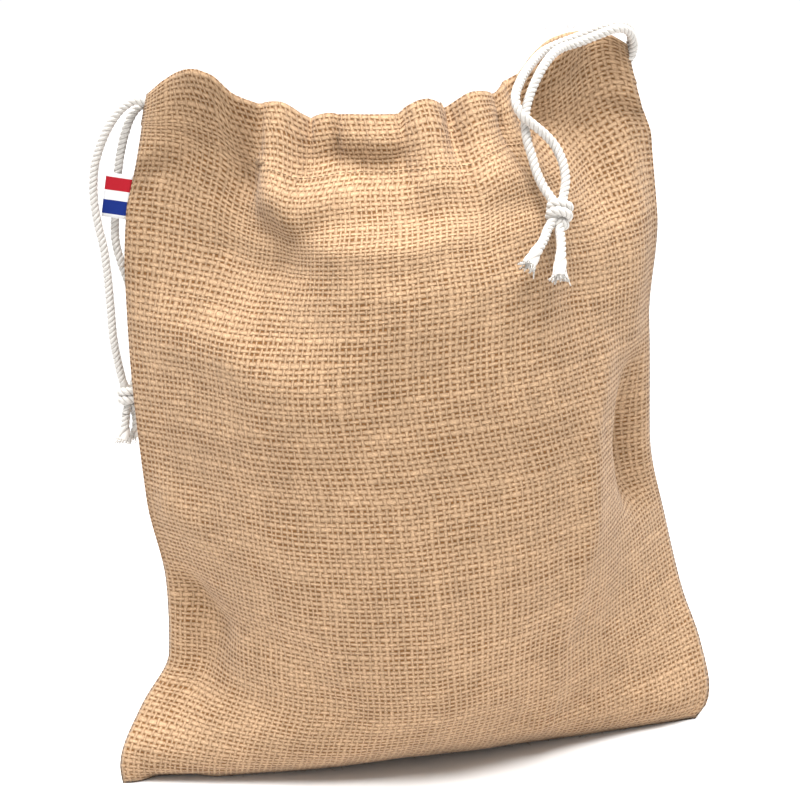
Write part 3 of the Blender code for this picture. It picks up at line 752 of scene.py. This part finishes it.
class Wiring:
    """Adds nodes to one tree and works out sums on their outputs."""

    def __init__(self, tree):
        self.tree = tree

    def node(self, kind, settings=None, **inputs):
        made = self.tree.nodes.new("ShaderNode" + kind)
        for name, value in (settings or {}).items():
            setattr(made, name, value)
        for name, value in inputs.items():
            self.feed(made.inputs[name.replace("_", " ")], value)
        return made

    def feed(self, socket, value):
        if isinstance(value, bpy.types.NodeSocket):
            self.tree.links.new(value, socket)
        else:
            socket.default_value = value

    def sum(self, operation, *values):
        made = self.tree.nodes.new("ShaderNodeMath")
        made.operation = operation
        for socket, value in zip(made.inputs, values):
            self.feed(socket, value)
        return made.outputs[0]

    def times(self, first, second):
        return self.sum("MULTIPLY", first, second)

    def times_plus(self, first, second, added):
        return self.sum("MULTIPLY_ADD", first, second, added)

    def minus(self, first, second):
        return self.sum("SUBTRACT", first, second)

    def spread(self, value, low, high, new_low=0.0, new_high=1.0, smooth=False):
        """Maps one span of numbers onto another, and holds it there."""
        made = self.tree.nodes.new("ShaderNodeMapRange")
        made.interpolation_type = "SMOOTHSTEP" if smooth else "LINEAR"
        for socket, number in zip(made.inputs, (value, low, high, new_low, new_high)):
            self.feed(socket, number)
        return made.outputs[0]

    def vector(self, x, y, z=0.0):
        return self.node("CombineXYZ", X=x, Y=y, Z=z).outputs[0]

    def grain(self, vector, scale=1.0, detail=0.0):
        """Smooth noise from 0 to 1."""
        return self.node("TexNoise", Vector=vector, Scale=scale, Detail=detail).outputs[0]

    def chance(self, vector):
        return self.node("TexWhiteNoise", Vector=vector).outputs[0]

    def mix(self, share, first, second, blend="MIX"):
        made = self.tree.nodes.new("ShaderNodeMix")
        made.data_type = "RGBA"
        made.blend_type = blend
        self.feed(made.inputs[0], share)
        for socket, colour in ((made.inputs[6], first), (made.inputs[7], second)):
            plain = not isinstance(colour, bpy.types.NodeSocket)
            self.feed(socket, (*colour[:3], 1) if plain else colour)
        return made.outputs[2]

    def paint(self, shader, colour, strength=None):
        """Gives a shader its colour, which a number may dim or lighten."""
        if strength is not None:
            colour = self.mix(1.0, colour, self.vector(strength, strength, strength), "MULTIPLY")
        self.feed(shader.inputs["Base Color"], colour)

    def relief(self, shader, height, strength, distance):
        bump = self.node("Bump", Strength=strength, Distance=distance, Height=height)
        self.feed(shader.inputs["Normal"], bump.outputs[0])

    def flat_place(self):
        """Each point's place on the flat cloth, or round a cord and along it."""
        return self.node("UVMap", {"uv_map": FLAT_MAP}).outputs[0]


def new_group(name, inputs, outputs):
    """An empty node group with named number sockets, its wiring and its two ends."""
    group = bpy.data.node_groups.new(name, "ShaderNodeTree")
    for label, kind, value in inputs:
        socket = group.interface.new_socket(label, in_out="INPUT", socket_type="NodeSocket" + kind)
        if value is not None:
            socket.default_value = value
    for label, kind in outputs:
        group.interface.new_socket(label, in_out="OUTPUT", socket_type="NodeSocket" + kind)
    wiring = Wiring(group)
    start = group.nodes.new("NodeGroupInput")
    end = group.nodes.new("NodeGroupOutput")
    return group, wiring, start.outputs, end.inputs


@lru_cache(maxsize=None)
def plain_weave():
    """Threads over and under each other: their height, how lit they are, and how they vary."""
    group, w, given, result = new_group(
        "Plain weave",
        [
            ("Flat", "Vector", None),
            ("Warp Pitch", "Float", 0.0027),
            ("Weft Pitch", "Float", 0.0025),
            ("Warp Width", "Float", 0.54),
            ("Weft Width", "Float", 0.66),
            ("Slubs", "Float", 0.5),
            ("Wander", "Float", 0.35),
        ],
        [("Height", "Float"), ("Painted Highlight", "Float"), ("Tone", "Float"), ("Fibre", "Float")],
    )
    place = w.node("SeparateXYZ", Vector=given["Flat"]).outputs
    across = w.sum("DIVIDE", place[0], given["Warp Pitch"])
    along = w.sum("DIVIDE", place[1], given["Weft Pitch"])

    def wandered(this, other, shift):
        """Threads that sway a little along their length, slowly and quickly."""
        slow = w.grain(w.vector(w.times(this, 0.8), w.times(other, 0.06), shift))
        quick = w.grain(w.vector(w.times(this, 0.9), w.times(other, 0.5), shift + 3))
        both = w.times_plus(w.minus(quick, 0.5), 0.55, w.minus(slow, 0.5))
        return w.times_plus(both, given["Wander"], this)

    warp = wandered(across, along, 1.5)
    weft = wandered(along, across, 8.5)
    patches = w.vector(w.times(across, 0.11), w.times(along, 0.16), 4.0)
    dense = w.spread(w.grain(patches, detail=1.0), 0.35, 0.7, -0.05, 0.11)

    def thread(this, other, width, sign, shift, bright):
        """Height of one set of threads, how lit it is, its tone and its fibres."""
        number = w.sum("FLOOR", this)
        middle = w.minus(w.minus(this, number), 0.5)
        slub = w.grain(w.vector(w.times(number, 3.7), w.times(other, 0.19), shift))
        odd = w.chance(w.vector(number, shift))
        thick = w.times_plus(odd, 0.22, slub)
        thick = w.times(w.minus(thick, 0.61), given["Slubs"])
        half = w.times(w.sum("ADD", w.sum("ADD", width, dense), thick), 0.5)
        ratio = w.sum("DIVIDE", middle, half)
        crown = w.sum("MAXIMUM", w.minus(1.0, w.times(ratio, ratio)), 0.0)
        even = w.sum("COSINE", w.times(number, pi))
        wave = w.times(w.times(even, sign), w.sum("SINE", w.times(other, pi)))
        over = w.times_plus(wave, 0.5, 0.5)
        round_crown = w.sum("POWER", crown, 0.6)
        raised = w.times_plus(round_crown, 0.55, w.times(over, 0.45))
        height = w.times(raised, w.sum("MINIMUM", w.times(crown, 5.0), 1.0))
        lane = w.vector(w.times(number, 5.3), w.times(other, 0.4), shift + 2)
        tone = w.times_plus(odd, 0.25, w.times(w.grain(lane, detail=1.0), 0.75))
        twist = w.times_plus(middle, 5.0, w.times(other, 1.6))
        strand = w.vector(twist, w.times(other, 0.8), w.sum("ADD", number, shift))
        fibre = w.grain(strand, scale=2.6, detail=1.0)
        # Painted highlight: brightest along the crest where the thread passes over, and dimmer on
        # the warp threads
        crest = w.sum("POWER", crown, 1.4)
        lit = w.times(crest, w.times_plus(over, 0.3 * bright, 0.7 * bright))
        return height, lit, tone, fibre

    warp_parts = thread(warp, weft, given["Warp Width"], 1.0, 0.0, 0.84)
    weft_parts = thread(weft, warp, given["Weft Width"], -1.0, 20.0, 1.0)
    on_top = w.sum("GREATER_THAN", warp_parts[0], weft_parts[0])
    under = w.minus(1.0, on_top)
    w.feed(result["Height"], w.sum("MAXIMUM", warp_parts[0], weft_parts[0]))
    for label, first, second in zip(("Painted Highlight", "Tone", "Fibre"), warp_parts[1:], weft_parts[1:]):
        w.feed(result[label], w.times_plus(first, on_top, w.times(second, under)))
    return group


def new_material(name, roughness, **constants):
    """A material with its Principled BSDF, whose plain numbers sit on its own sockets."""
    material = bpy.data.materials.new(name)
    material.use_nodes = True
    shader = material.node_tree.nodes["Principled BSDF"]
    shader.inputs["Roughness"].default_value = roughness
    for label, value in constants.items():
        shader.inputs[label.replace("_", " ")].default_value = value
    return material, Wiring(material.node_tree), shader


def use_group(w, group, **inputs):
    """Places a node group in a material with its own values."""
    made = w.tree.nodes.new("ShaderNodeGroup")
    made.node_tree = group
    for name, value in inputs.items():
        w.feed(made.inputs[name.replace("_", " ")], value)
    return made.outputs


@lru_cache(maxsize=None)
def burlap():
    sizes, colours = bpy.context.scene.sack_sizes, bpy.context.scene.sack_colours
    material, w, shader = new_material("burlap", 0.95, Specular_IOR_Level=0.1, Sheen_Weight=0.1)
    flat = w.flat_place()
    weave = use_group(
        w, plain_weave(), Flat=flat, Warp_Pitch=sizes.warp_pitch, Weft_Pitch=sizes.weft_pitch,
        Warp_Width=0.6, Weft_Width=0.8, Slubs=0.62, Wander=0.55,
    )
    solid = w.spread(weave["Height"], 0.0, 0.7, smooth=True)
    # Painted highlight and shade: each thread is paler along its crest than on its sides
    lit = w.spread(weave["Painted Highlight"], 0.1, 0.92)
    colour = w.mix(lit, colours.jute_mid_and_side_shade, colours.jute_pale_and_crest_highlight)
    colour = w.mix(solid, colours.jute_gap, colour)
    tone = w.spread(weave["Tone"], 0.25, 0.75, 0.90, 1.09)
    fibre = w.spread(weave["Fibre"], 0.25, 0.75, 0.74, 1.22)
    patch = w.spread(w.grain(flat, scale=30.0, detail=3.0), 0.3, 0.7, 0.94, 1.05)
    fuzz = w.spread(w.grain(flat, scale=1500.0, detail=1.0), 0.3, 0.7, 0.82, 1.18)
    lump = w.spread(w.grain(flat, scale=110.0, detail=1.0), 0.3, 0.7, 0.95, 1.05)
    w.paint(shader, colour, w.times(w.times(w.times(tone, fibre), w.times(patch, lump)), fuzz))
    w.relief(shader, w.times_plus(weave["Fibre"], 0.15, weave["Height"]), 1.0, 0.0005)
    return material


@lru_cache(maxsize=None)
def jute_fibre():
    colours = bpy.context.scene.sack_colours
    material, w, shader = new_material("jute_fibre", 0.85, Specular_IOR_Level=0.3)
    place = w.node("TexCoord").outputs["Object"]
    pale = w.spread(w.grain(place, scale=300.0), 0.3, 0.7)
    w.paint(shader, w.mix(pale, colours.jute_mid_and_side_shade, colours.jute_pale_and_crest_highlight))
    return material


@lru_cache(maxsize=None)
def cotton():
    colours = bpy.context.scene.sack_colours
    material, w, shader = new_material(
        "cotton_cord", 0.95, Specular_IOR_Level=0.15, Sheen_Weight=0.25
    )
    place = w.node("SeparateXYZ", Vector=w.flat_place()).outputs
    # Painted shade: the cord is darker in the grooves between its strands
    strand = w.sum("FRACT", w.times(place[0], float(STRANDS)))
    edge = w.sum("ABSOLUTE", w.minus(strand, 0.5))
    groove = w.spread(edge, 0.0, 0.16, smooth=True)
    yarn_place = w.vector(
        w.sum("ADD", w.times(place[0], 42.0), w.times(place[1], 900.0)),
        w.times(place[1], 160.0),
    )
    yarn = w.grain(yarn_place, detail=2.0)
    colour = w.mix(groove, colours.cotton_groove_shade, colours.cotton)
    w.paint(shader, colour, w.spread(yarn, 0.25, 0.75, 0.86, 1.06))
    w.relief(shader, yarn, 0.5, 0.0003)
    return material


@lru_cache(maxsize=None)
def ribbon():
    """Woven ribbon with a red and a blue band between white ones."""
    colours = bpy.context.scene.sack_colours
    material, w, shader = new_material("ribbon", 0.6, Specular_IOR_Level=0.15)
    flat = w.flat_place()
    up = w.node("SeparateXYZ", Vector=flat).outputs[1]
    share = w.sum("DIVIDE", up, bpy.context.scene.sack_sizes.tab_height)

    def band(low, high):
        """1 between these shares of the ribbon's width."""
        return w.times(w.sum("GREATER_THAN", share, low), w.sum("LESS_THAN", share, high))

    colour = w.mix(band(0.08, 0.40), colours.ribbon_white, colours.ribbon_blue)
    colour = w.mix(band(0.62, 0.92), colour, colours.ribbon_red)
    weave = use_group(
        w, plain_weave(), Flat=flat, Warp_Pitch=0.0005, Weft_Pitch=0.0004,
        Warp_Width=0.9, Weft_Width=0.95, Slubs=0.1, Wander=0.1,
    )
    # Painted shade: the ribbon is darker where its threads dip under and lighter on their tops
    w.paint(shader, colour, w.spread(weave["Height"], 0.0, 0.9, 0.7, 1.05))
    w.relief(shader, weave["Height"], 0.5, 0.00012)
    return material


@lru_cache(maxsize=None)
def pale_floor():
    """Pale under the sack, and darker away from it: a painted pool of light round the sack."""
    material, w, shader = new_material("pale_floor", 0.9, Specular_IOR_Level=0.1)
    place = w.node("TexCoord").outputs["Object"]
    away = w.node("VectorMath", {"operation": "LENGTH"}, Vector=place).outputs["Value"]
    # Painted light: paler close to the sack, fading to darker further off
    soft = w.spread(away, 0.2, 0.6, 1.0, 0.55, smooth=True)
    w.paint(shader, bpy.context.scene.sack_colours.floor, soft)
    return material


# ---------------------------------------------------------------- operators


class SackOperator:
    bl_options = {"REGISTER", "UNDO"}


class SACK_OT_stage(SackOperator, bpy.types.Operator):
    """Makes the pale floor, the soft studio light and the camera"""

    bl_idname = "sack.stage"
    bl_label = "Studio"

    CAMERA_AZIMUTH = -3
    CAMERA_ELEVATION = 13
    CAMERA_ROLL = -4
    CAMERA_DISTANCE = 0.8
    CAMERA_LENS = 80.1
    CAMERA_SENSOR = 36
    CAMERA_TARGET = (-0.005, -0.020, 0.180)
    KEY_FROM = (0.0, -0.14, 1.0)
    FLOOR_REACH = 12  # metres, each way

    def execute(self, context):
        look = context.scene.studio_look
        self.make_floor()
        self.make_key_light(look)
        self.make_surround(look)
        self.make_camera()
        context.scene.view_settings.view_transform = "Standard"
        return {"FINISHED"}

    def make_floor(self):
        sheet = bmesh.new()
        bmesh.ops.create_grid(sheet, x_segments=2, y_segments=2, size=self.FLOOR_REACH)
        data = bpy.data.meshes.new("floor")
        sheet.to_mesh(data)
        sheet.free()
        data.materials.append(pale_floor())
        floor_plane = bpy.data.objects.new("floor", data)
        bpy.context.scene.collection.objects.link(floor_plane)

    def make_key_light(self, look):
        data = bpy.data.lights.new("key_light", "SUN")
        data.energy = look.key_light
        data.angle = look.key_softness
        light = bpy.data.objects.new("key_light", data)
        light.rotation_euler = (-Vector(self.KEY_FROM)).to_track_quat("-Z", "Y").to_euler()
        bpy.context.scene.collection.objects.link(light)

    def make_surround(self, look):
        """White low down, as a backdrop is, and dimmer overhead."""
        world = bpy.data.worlds.new("surround")
        world.use_nodes = True
        background = world.node_tree.nodes["Background"]
        w = Wiring(world.node_tree)
        up = w.node("SeparateXYZ", Vector=w.node("TexCoord").outputs["Generated"]).outputs[2]
        strength = w.spread(up, 0.06, 0.35, look.backdrop, look.overhead)
        w.feed(background.inputs["Strength"], strength)
        background.inputs["Color"].default_value = (1, 1, 1, 1)
        bpy.context.scene.world = world

    def make_camera(self):
        data = bpy.data.cameras.new("camera")
        data.sensor_width = self.CAMERA_SENSOR
        data.lens = self.CAMERA_LENS
        camera = bpy.data.objects.new("camera", data)
        azimuth, elevation = radians(self.CAMERA_AZIMUTH), radians(self.CAMERA_ELEVATION)
        back = Vector((sin(azimuth) * cos(elevation), -cos(azimuth) * cos(elevation), 0))
        back.z = sin(elevation)
        place = Vector(self.CAMERA_TARGET) + back * self.CAMERA_DISTANCE
        turn = (-back).to_track_quat("-Z", "Y").to_matrix().to_4x4()
        roll = Matrix.Rotation(radians(self.CAMERA_ROLL), 4, "Z")
        camera.matrix_world = Matrix.Translation(place) @ turn @ roll
        bpy.context.scene.collection.objects.link(camera)
        bpy.context.scene.camera = camera


@lru_cache(maxsize=None)
def crumpled_face(front):
    """A face with soft lumps and small wrinkles, which die away at the seams and the base.

    Returns its points, its outward normals and its flat heights.
    """
    sizes = bpy.context.scene.sack_sizes
    shares = column_shares(sizes.cloth_width)
    face, flat = cloth_face(front, sizes)
    normal = np.cross(np.gradient(face, axis=1), np.gradient(face, axis=0))
    normal /= np.maximum(np.linalg.norm(normal, axis=2), 1e-12)[..., None]
    normal *= np.sign(normal[len(face) // 3, len(shares) // 2, 1]) * (-1 if front else 1)
    edge = smooth_step(0, LUMP_PINCH, np.minimum(shares, 1 - shares))
    out = face.copy()
    for i, row in enumerate(face[1:], 1):
        for j, point in enumerate(row):
            low = noise.noise(Vector(point) * LUMPS_A_METRE)
            high = noise.noise(Vector(point) * WRINKLES_A_METRE + WRINKLE_SHIFT)
            out[i, j] += normal[i, j] * edge[j] * (low * LUMP + high * WRINKLE)
    out[..., 2] = np.maximum(out[..., 2], 0)
    return out, normal, flat


def spot_on_face(front, share, up):
    """A point on a face and the way out of the cloth there."""
    points, normals, flat = crumpled_face(front)
    shares = column_shares(bpy.context.scene.sack_sizes.cloth_width)
    last = 1 + INSIDE_GRID
    column = np.clip(np.interp(share, shares, np.arange(len(shares))), 0, len(shares) - last)
    row = np.clip(np.interp(up, flat, np.arange(len(flat))), 0, len(flat) - last)
    i, j = int(row), int(column)
    part_up, part_across = row - i, column - j

    def read(table):
        low = table[i, j] * (1 - part_across) + table[i, j + 1] * part_across
        high = table[i + 1, j] * (1 - part_across) + table[i + 1, j + 1] * part_across
        return low * (1 - part_up) + high * part_up

    return read(points), read(normals)


class SACK_OT_cloth(SackOperator, bpy.types.Operator):
    """Makes the sack's cloth: one length of burlap, folded at the base and sewn up both sides"""

    bl_idname = "sack.cloth"
    bl_label = "Cloth"

    def execute(self, context):
        sizes = context.scene.sack_sizes
        shares = column_shares(sizes.cloth_width)
        back, _, back_flat = crumpled_face(False)
        front, _, front_flat = crumpled_face(True)
        points = np.concatenate([back[::-1], front[1:]])
        base_line = back_flat[-1] + BASE_CLOTH
        flat = np.concatenate([base_line - back_flat[::-1], base_line + front_flat[1:]])
        marks = np.empty((*points.shape[:2], 2))
        marks[..., 0] = shares * sizes.cloth_width
        marks[..., 1] = flat[:, None]
        cloth = bmesh.new()
        grid_into(cloth, points, marks)
        bmesh.ops.remove_doubles(cloth, verts=cloth.verts, dist=WELD)
        bmesh.ops.recalc_face_normals(cloth, faces=cloth.faces)
        piece = object_from(cloth, "burlap_cloth", burlap(), "sack_cloth")
        thicken = piece.modifiers.new("thickness", "SOLIDIFY")
        thicken.thickness = sizes.cloth_thick
        thicken.offset = -1
        thicken.use_even_offset = False
        return {"FINISHED"}


class SACK_OT_sewing(SackOperator, bpy.types.Operator):
    """Makes the row of stitches that holds down the hem of the casing, on both faces"""

    bl_idname = "sack.sewing"
    bl_label = "Sewing"

    FROM_SEAM = 0.03  # of the width, where the row starts and ends
    # Along a stitch, as a share of its length, and how far out of the cloth it stands, in mm
    STITCH = ((0.06, -0.3), (0.25, 0.15), (0.5, 0.25), (0.75, 0.15), (0.94, -0.3))

    def execute(self, context):
        step = STITCH_LENGTH / context.scene.sack_sizes.cloth_width
        mesh = bmesh.new()
        for front in (True, False):
            for start in np.arange(self.FROM_SEAM, 1 - self.FROM_SEAM - step, step):
                points = []
                for t, out in self.STITCH:
                    spot, normal = spot_on_face(front, start + t * step, STITCH_AT)
                    points.append(spot + normal * out * MM)
                thread_into(mesh, points, STITCH_THICK, STITCH_SIDES)
        close_ends(mesh)
        object_from(mesh, "casing_stitches", jute_fibre())
        return {"FINISHED"}


class SACK_OT_fibres(SackOperator, bpy.types.Operator):
    """Makes the loose fibres that stand out of the cloth, its mouth, its base and its seams"""

    bl_idname = "sack.fibres"
    bl_label = "Loose fibres"

    SEED = 11
    # How far each kind stands out of the cloth, as a share of the most
    ON_FACE, ON_EDGE, ON_BASE = 0.35, 1.0, 0.8
    LENGTHS = (1.5, 6)  # mm, from the shortest to the longest
    LIFTS = (0.1, 0.5)  # of its length, at its free end
    BENDS = (-0.5, 0.5)
    ROOT_DEPTH = 0.12 * MM  # into the cloth
    LOWEST = 0.1 * MM  # above the ground

    def execute(self, context):
        self.random = random.Random(self.SEED)
        height = context.scene.sack_sizes.cloth_height
        chance = self.random.uniform
        mesh = bmesh.new()
        for front in (True, False):
            for _ in range(FACE_FIBRES):
                share, up = chance(0.03, 0.97), chance(0.02, 0.98) * height
                self.add_fibre(mesh, front, share, up, self.ON_FACE)
            for _ in range(EDGE_FIBRES):
                share, up = chance(0.02, 0.98), height - chance(0, 1) * MM
                self.add_fibre(mesh, front, share, up, self.ON_EDGE)
                share, up = chance(0.02, 0.98), chance(1, 9) * MM
                self.add_fibre(mesh, front, share, up, self.ON_BASE)
                side = chance(0.001, 0.008)
                share = side if self.random.random() < 0.5 else 1 - side
                self.add_fibre(mesh, front, share, chance(0.02, 0.98) * height, self.ON_EDGE)
        close_ends(mesh)
        object_from(mesh, "loose_fibres", jute_fibre())
        return {"FINISHED"}

    def add_fibre(self, mesh, front, share, up, stands):
        """One curved fibre that lies along the cloth and lifts its free end."""
        spot, normal = spot_on_face(front, share, up)
        length = self.random.uniform(*self.LENGTHS) * MM * (0.6 + 0.4 * stands)
        way = Vector([self.random.gauss(0, 1) for _ in range(3)])
        way = np.array(way - Vector(normal) * way.dot(Vector(normal)))
        way = way / np.linalg.norm(way)
        bend = np.cross(normal, way) * self.random.uniform(*self.BENDS)
        lift = self.random.uniform(*self.LIFTS) * stands
        points = []
        for t in np.linspace(0, 1, 5):
            out = lift * t * length - self.ROOT_DEPTH * (1 - t)
            point = spot + way * t * length + bend * t * t * length + normal * out
            points.append((point[0], point[1], max(point[2], self.LOWEST)))
        thread_into(mesh, points, FIBRE_THICK, FIBRE_SIDES)


class SACK_OT_cords(SackOperator, bpy.types.Operator):
    """Makes the four free cords, their knots and their frayed tails"""

    bl_idname = "sack.cords"
    bl_label = "Drawcords"

    SEED = 5
    # The knot: a wrap wound round both cords, its ends tucked in
    WRAP_TURNS = 2.3
    WRAP_STARTS = -0.35 * pi
    WRAP_STEPS = 60
    WRAP_PITCH = 3.7 * MM
    WRAP_REACH = 1.02  # cord thicknesses, from the knot's middle to the wrap's
    WRAP_THICK = 0.98
    WRAP_DEPTH = 0.92  # its depth from front to back, as a share of its width
    WRAP_TILT = 0.22
    TUCK = 0.12  # of the wrap, at each of its ends
    TUCKED = 0.35  # of the wrap's radius, where its ends are
    # The cut ends
    LOOSENS_FROM = 0.35  # along a tail
    WIDENS = (0.55, 0.25)  # of its thickness, each way, at the cut
    UNTWISTS = 0.85  # of its twist, at the cut
    FRAY_FIBRES = 70
    FRAY = 3.2 * MM  # the longest of its fibres
    FRAY_THICK = 0.5 * MM
    FRAY_ROOT = 1.2 * MM  # how far inside the cut end they start
    FRAY_STEP = 1.2 * MM
    FRAY_WIDE = (1.5, 1.2)  # cord widths that they spread over, each way

    def execute(self, context):
        thick = context.scene.sack_sizes.cord_thick
        self.random = random.Random(self.SEED)
        for name, knot in KNOTS.items():
            made = [self.make_knot(name, knot, thick)]
            made += [self.make_tail(tail, thick) for tail in knot.tails]
            for cord in knot.cords:
                self.make_cord(cord, knot, thick, made)
        return {"FINISHED"}

    def object_of_cotton(self, mesh, name, node):
        close_ends(mesh)
        return object_from(mesh, name, cotton(), node)

    def make_cord(self, name, knot, thick, on_it):
        """A cord from the casing's mouth to half way into its knot."""
        last = np.array(CORD_ROUTES[name][-1])
        into = last + (np.array((knot.x, knot.y, knot.z)) - last) * 0.5
        path = smooth_route([*CORD_ROUTES[name], into])
        mesh = bmesh.new()
        rope_into(mesh, path, thick)
        piece = self.object_of_cotton(mesh, "drawcord" + name.removeprefix("cord"), name)
        length = float(np.linalg.norm(np.diff(path, axis=0), axis=1).sum())

    def make_knot(self, name, knot, thick):
        """One wrap wound tight round both cords where they cross to the tails."""
        middle = np.array((knot.x, knot.y, knot.z)) * MM
        above = np.mean([CORD_ROUTES[cord][-1] for cord in knot.cords], axis=0) * MM
        below = np.mean([TAIL_ROUTES[tail][0] for tail in knot.tails], axis=0) * MM
        down = (below - above) / np.linalg.norm(below - above)
        side = np.cross(down, (0, 1, 0))
        side /= np.linalg.norm(side)
        out = np.cross(side, down)
        if out[1] > 0:
            out = -out
        mesh = bmesh.new()
        wrap = []
        for i in range(self.WRAP_STEPS + 1):
            t = i / self.WRAP_STEPS
            angle = self.WRAP_STARTS + 2 * pi * self.WRAP_TURNS * t
            tuck = smooth_step(0, self.TUCK, min(t, 1 - t))
            radius = thick * self.WRAP_REACH * (self.TUCKED + (1 - self.TUCKED) * tuck)
            drop = (t - 0.5) * self.WRAP_PITCH * self.WRAP_TURNS
            drop += self.WRAP_TILT * radius * cos(angle + 0.6)
            across = side * cos(angle) + out * self.WRAP_DEPTH * sin(angle)
            wrap.append(middle + across * radius + down * drop)
        rope_into(mesh, smooth_route(np.array(wrap) / MM), thick * self.WRAP_THICK)
        for cord, tail in zip(knot.cords, reversed(knot.tails)):
            start = np.array(CORD_ROUTES[cord][-1], float)
            end = np.array(TAIL_ROUTES[tail][0], float)
            centre = middle / MM * 0.6 + (start + end) * 0.2
            rope_into(mesh, smooth_route([start, centre, end]), thick)
        return self.object_of_cotton(mesh, "overhand" + name.removeprefix("knot"), name)

    def make_tail(self, name, thick):
        """A cut end whose strands loosen and spread into their fibres."""
        path = smooth_route(TAIL_ROUTES[name])
        along = np.linspace(0, 1, len(path))
        spread = smooth_step(self.LOOSENS_FROM, 1, along)
        swell = 1 + np.outer(spread, self.WIDENS)
        turns = 2 * pi * np.cumsum(RING_STEP / LAY_LENGTH * (1 - self.UNTWISTS * spread))
        mesh = bmesh.new()
        rope_into(mesh, path, thick, swell=swell, turns=turns)
        tangents, sides, ups = carried_axes(path)
        end, way = path[-1], tangents[-1]
        side, up = sides[-1] * self.FRAY_WIDE[0], ups[-1] * self.FRAY_WIDE[1]
        for _ in range(self.FRAY_FIBRES):
            angle = self.random.uniform(0, 2 * pi)
            share = self.random.uniform(0.1, 0.95) ** 0.5
            radial = side * cos(angle) + up * sin(angle)
            start = end - way * self.FRAY_ROOT + radial * share * thick / 2
            lean = way + radial * share * self.random.uniform(0.1, 0.5)
            length = self.random.uniform(0.5, 1) * self.FRAY
            bend = np.array([self.random.gauss(0, 0.25) for _ in range(3)])
            points = [start, start + lean * length * 0.5, start + (lean + bend) * length]
            fibre = smooth_route(np.array(points) / MM, step=self.FRAY_STEP)
            rope_into(mesh, fibre, self.FRAY_THICK)
        return self.object_of_cotton(mesh, "frayed" + name.removeprefix("tail"), name)


class SACK_OT_tab(SackOperator, bpy.types.Operator):
    """Makes the ribbon tab, folded double and caught in the left side seam"""

    bl_idname = "sack.tab"
    bl_label = "Ribbon tab"

    THICK = 1 * MM  # room for each layer
    RIBBON_THICK = 0.8 * MM
    GAP = 0.4 * MM
    SEWN_IN = 1.5 * MM
    ALONG_STEPS = 8
    TURN_STEPS = 10  # round the fold
    ACROSS_ROWS = 13
    WAVE = 0.25 * MM  # a slight buckle, and how fast it goes along and up the ribbon, per metre
    WAVE_ALONG = 500
    WAVE_UP = 200

    def execute(self, context):
        sizes = context.scene.sack_sizes
        middle = (self.GAP + self.THICK) / 2
        bend = sizes.tab_reach - middle
        run = np.linspace(-self.SEWN_IN, bend, self.ALONG_STEPS, endpoint=False)
        line = [(x, -middle) for x in run]
        for i in range(self.TURN_STEPS + 1):
            angle = -pi / 2 + pi * i / self.TURN_STEPS
            line.append((bend + middle * cos(angle), middle * sin(angle)))
        line += [(x, middle) for x in np.linspace(bend, -self.SEWN_IN, self.ALONG_STEPS)[1:]]
        line = np.array(line)
        lengths = shares_along(line) * np.linalg.norm(np.diff(line, axis=0), axis=1).sum()
        ups = np.linspace(-sizes.tab_height / 2, sizes.tab_height / 2, self.ACROSS_ROWS)
        waves = np.outer(np.cos(ups * self.WAVE_UP), np.sin(line[:, 0] * self.WAVE_ALONG))
        points = np.empty((len(ups), len(line), 3))
        points[..., 0] = -line[:, 0]
        points[..., 1] = line[:, 1] + self.WAVE * waves
        points[..., 2] = ups[:, None]
        marks = np.empty((len(ups), len(line), 2))
        marks[..., 0] = lengths
        marks[..., 1] = (ups + sizes.tab_height / 2)[:, None]
        strip = bmesh.new()
        grid_into(strip, points, marks)
        place = Matrix.Translation(Vector(TAB_AT) * MM) @ Matrix.Rotation(TAB_TILT, 4, "Y")
        bmesh.ops.transform(strip, matrix=place, verts=strip.verts)
        bmesh.ops.recalc_face_normals(strip, faces=strip.faces)
        piece = object_from(strip, "ribbon_tab", ribbon(), "flag_tab")
        thicken = piece.modifiers.new("thickness", "SOLIDIFY")
        thicken.thickness = self.RIBBON_THICK
        thicken.offset = 0
        return {"FINISHED"}


class SACK_PT_panel(bpy.types.Panel):
    """Lists the sack's sizes, colours and operators"""

    bl_idname = "SACK_PT_panel"
    bl_label = "Burlap sack"
    bl_space_type = "VIEW_3D"
    bl_region_type = "UI"
    bl_category = "Sack"

    def draw(self, context):
        scene = context.scene
        for group in (scene.sack_sizes, scene.sack_colours, scene.studio_look):
            box = self.layout.box()
            for name in group.__annotations__:
                box.prop(group, name)
        for operator in OPERATORS:
            self.layout.operator(operator.bl_idname)


OPERATORS = (
    SACK_OT_stage,
    SACK_OT_cloth,
    SACK_OT_sewing,
    SACK_OT_fibres,
    SACK_OT_cords,
    SACK_OT_tab,
)
GROUPS = {"sack_sizes": SackSizes, "sack_colours": SackColours, "studio_look": StudioLook}


def register():
    for kind in (*GROUPS.values(), *OPERATORS, SACK_PT_panel):
        bpy.utils.register_class(kind)
    for name, group in GROUPS.items():
        setattr(bpy.types.Scene, name, PointerProperty(type=group))


def unregister():
    for name in GROUPS:
        delattr(bpy.types.Scene, name)
    for kind in reversed((*GROUPS.values(), *OPERATORS, SACK_PT_panel)):
        bpy.utils.unregister_class(kind)


def main():
    register()
    bpy.ops.sack.stage()
    bpy.ops.sack.cloth()
    bpy.ops.sack.sewing()
    bpy.ops.sack.fibres()
    bpy.ops.sack.cords()
    bpy.ops.sack.tab()


if __name__ == "__main__":
    main()
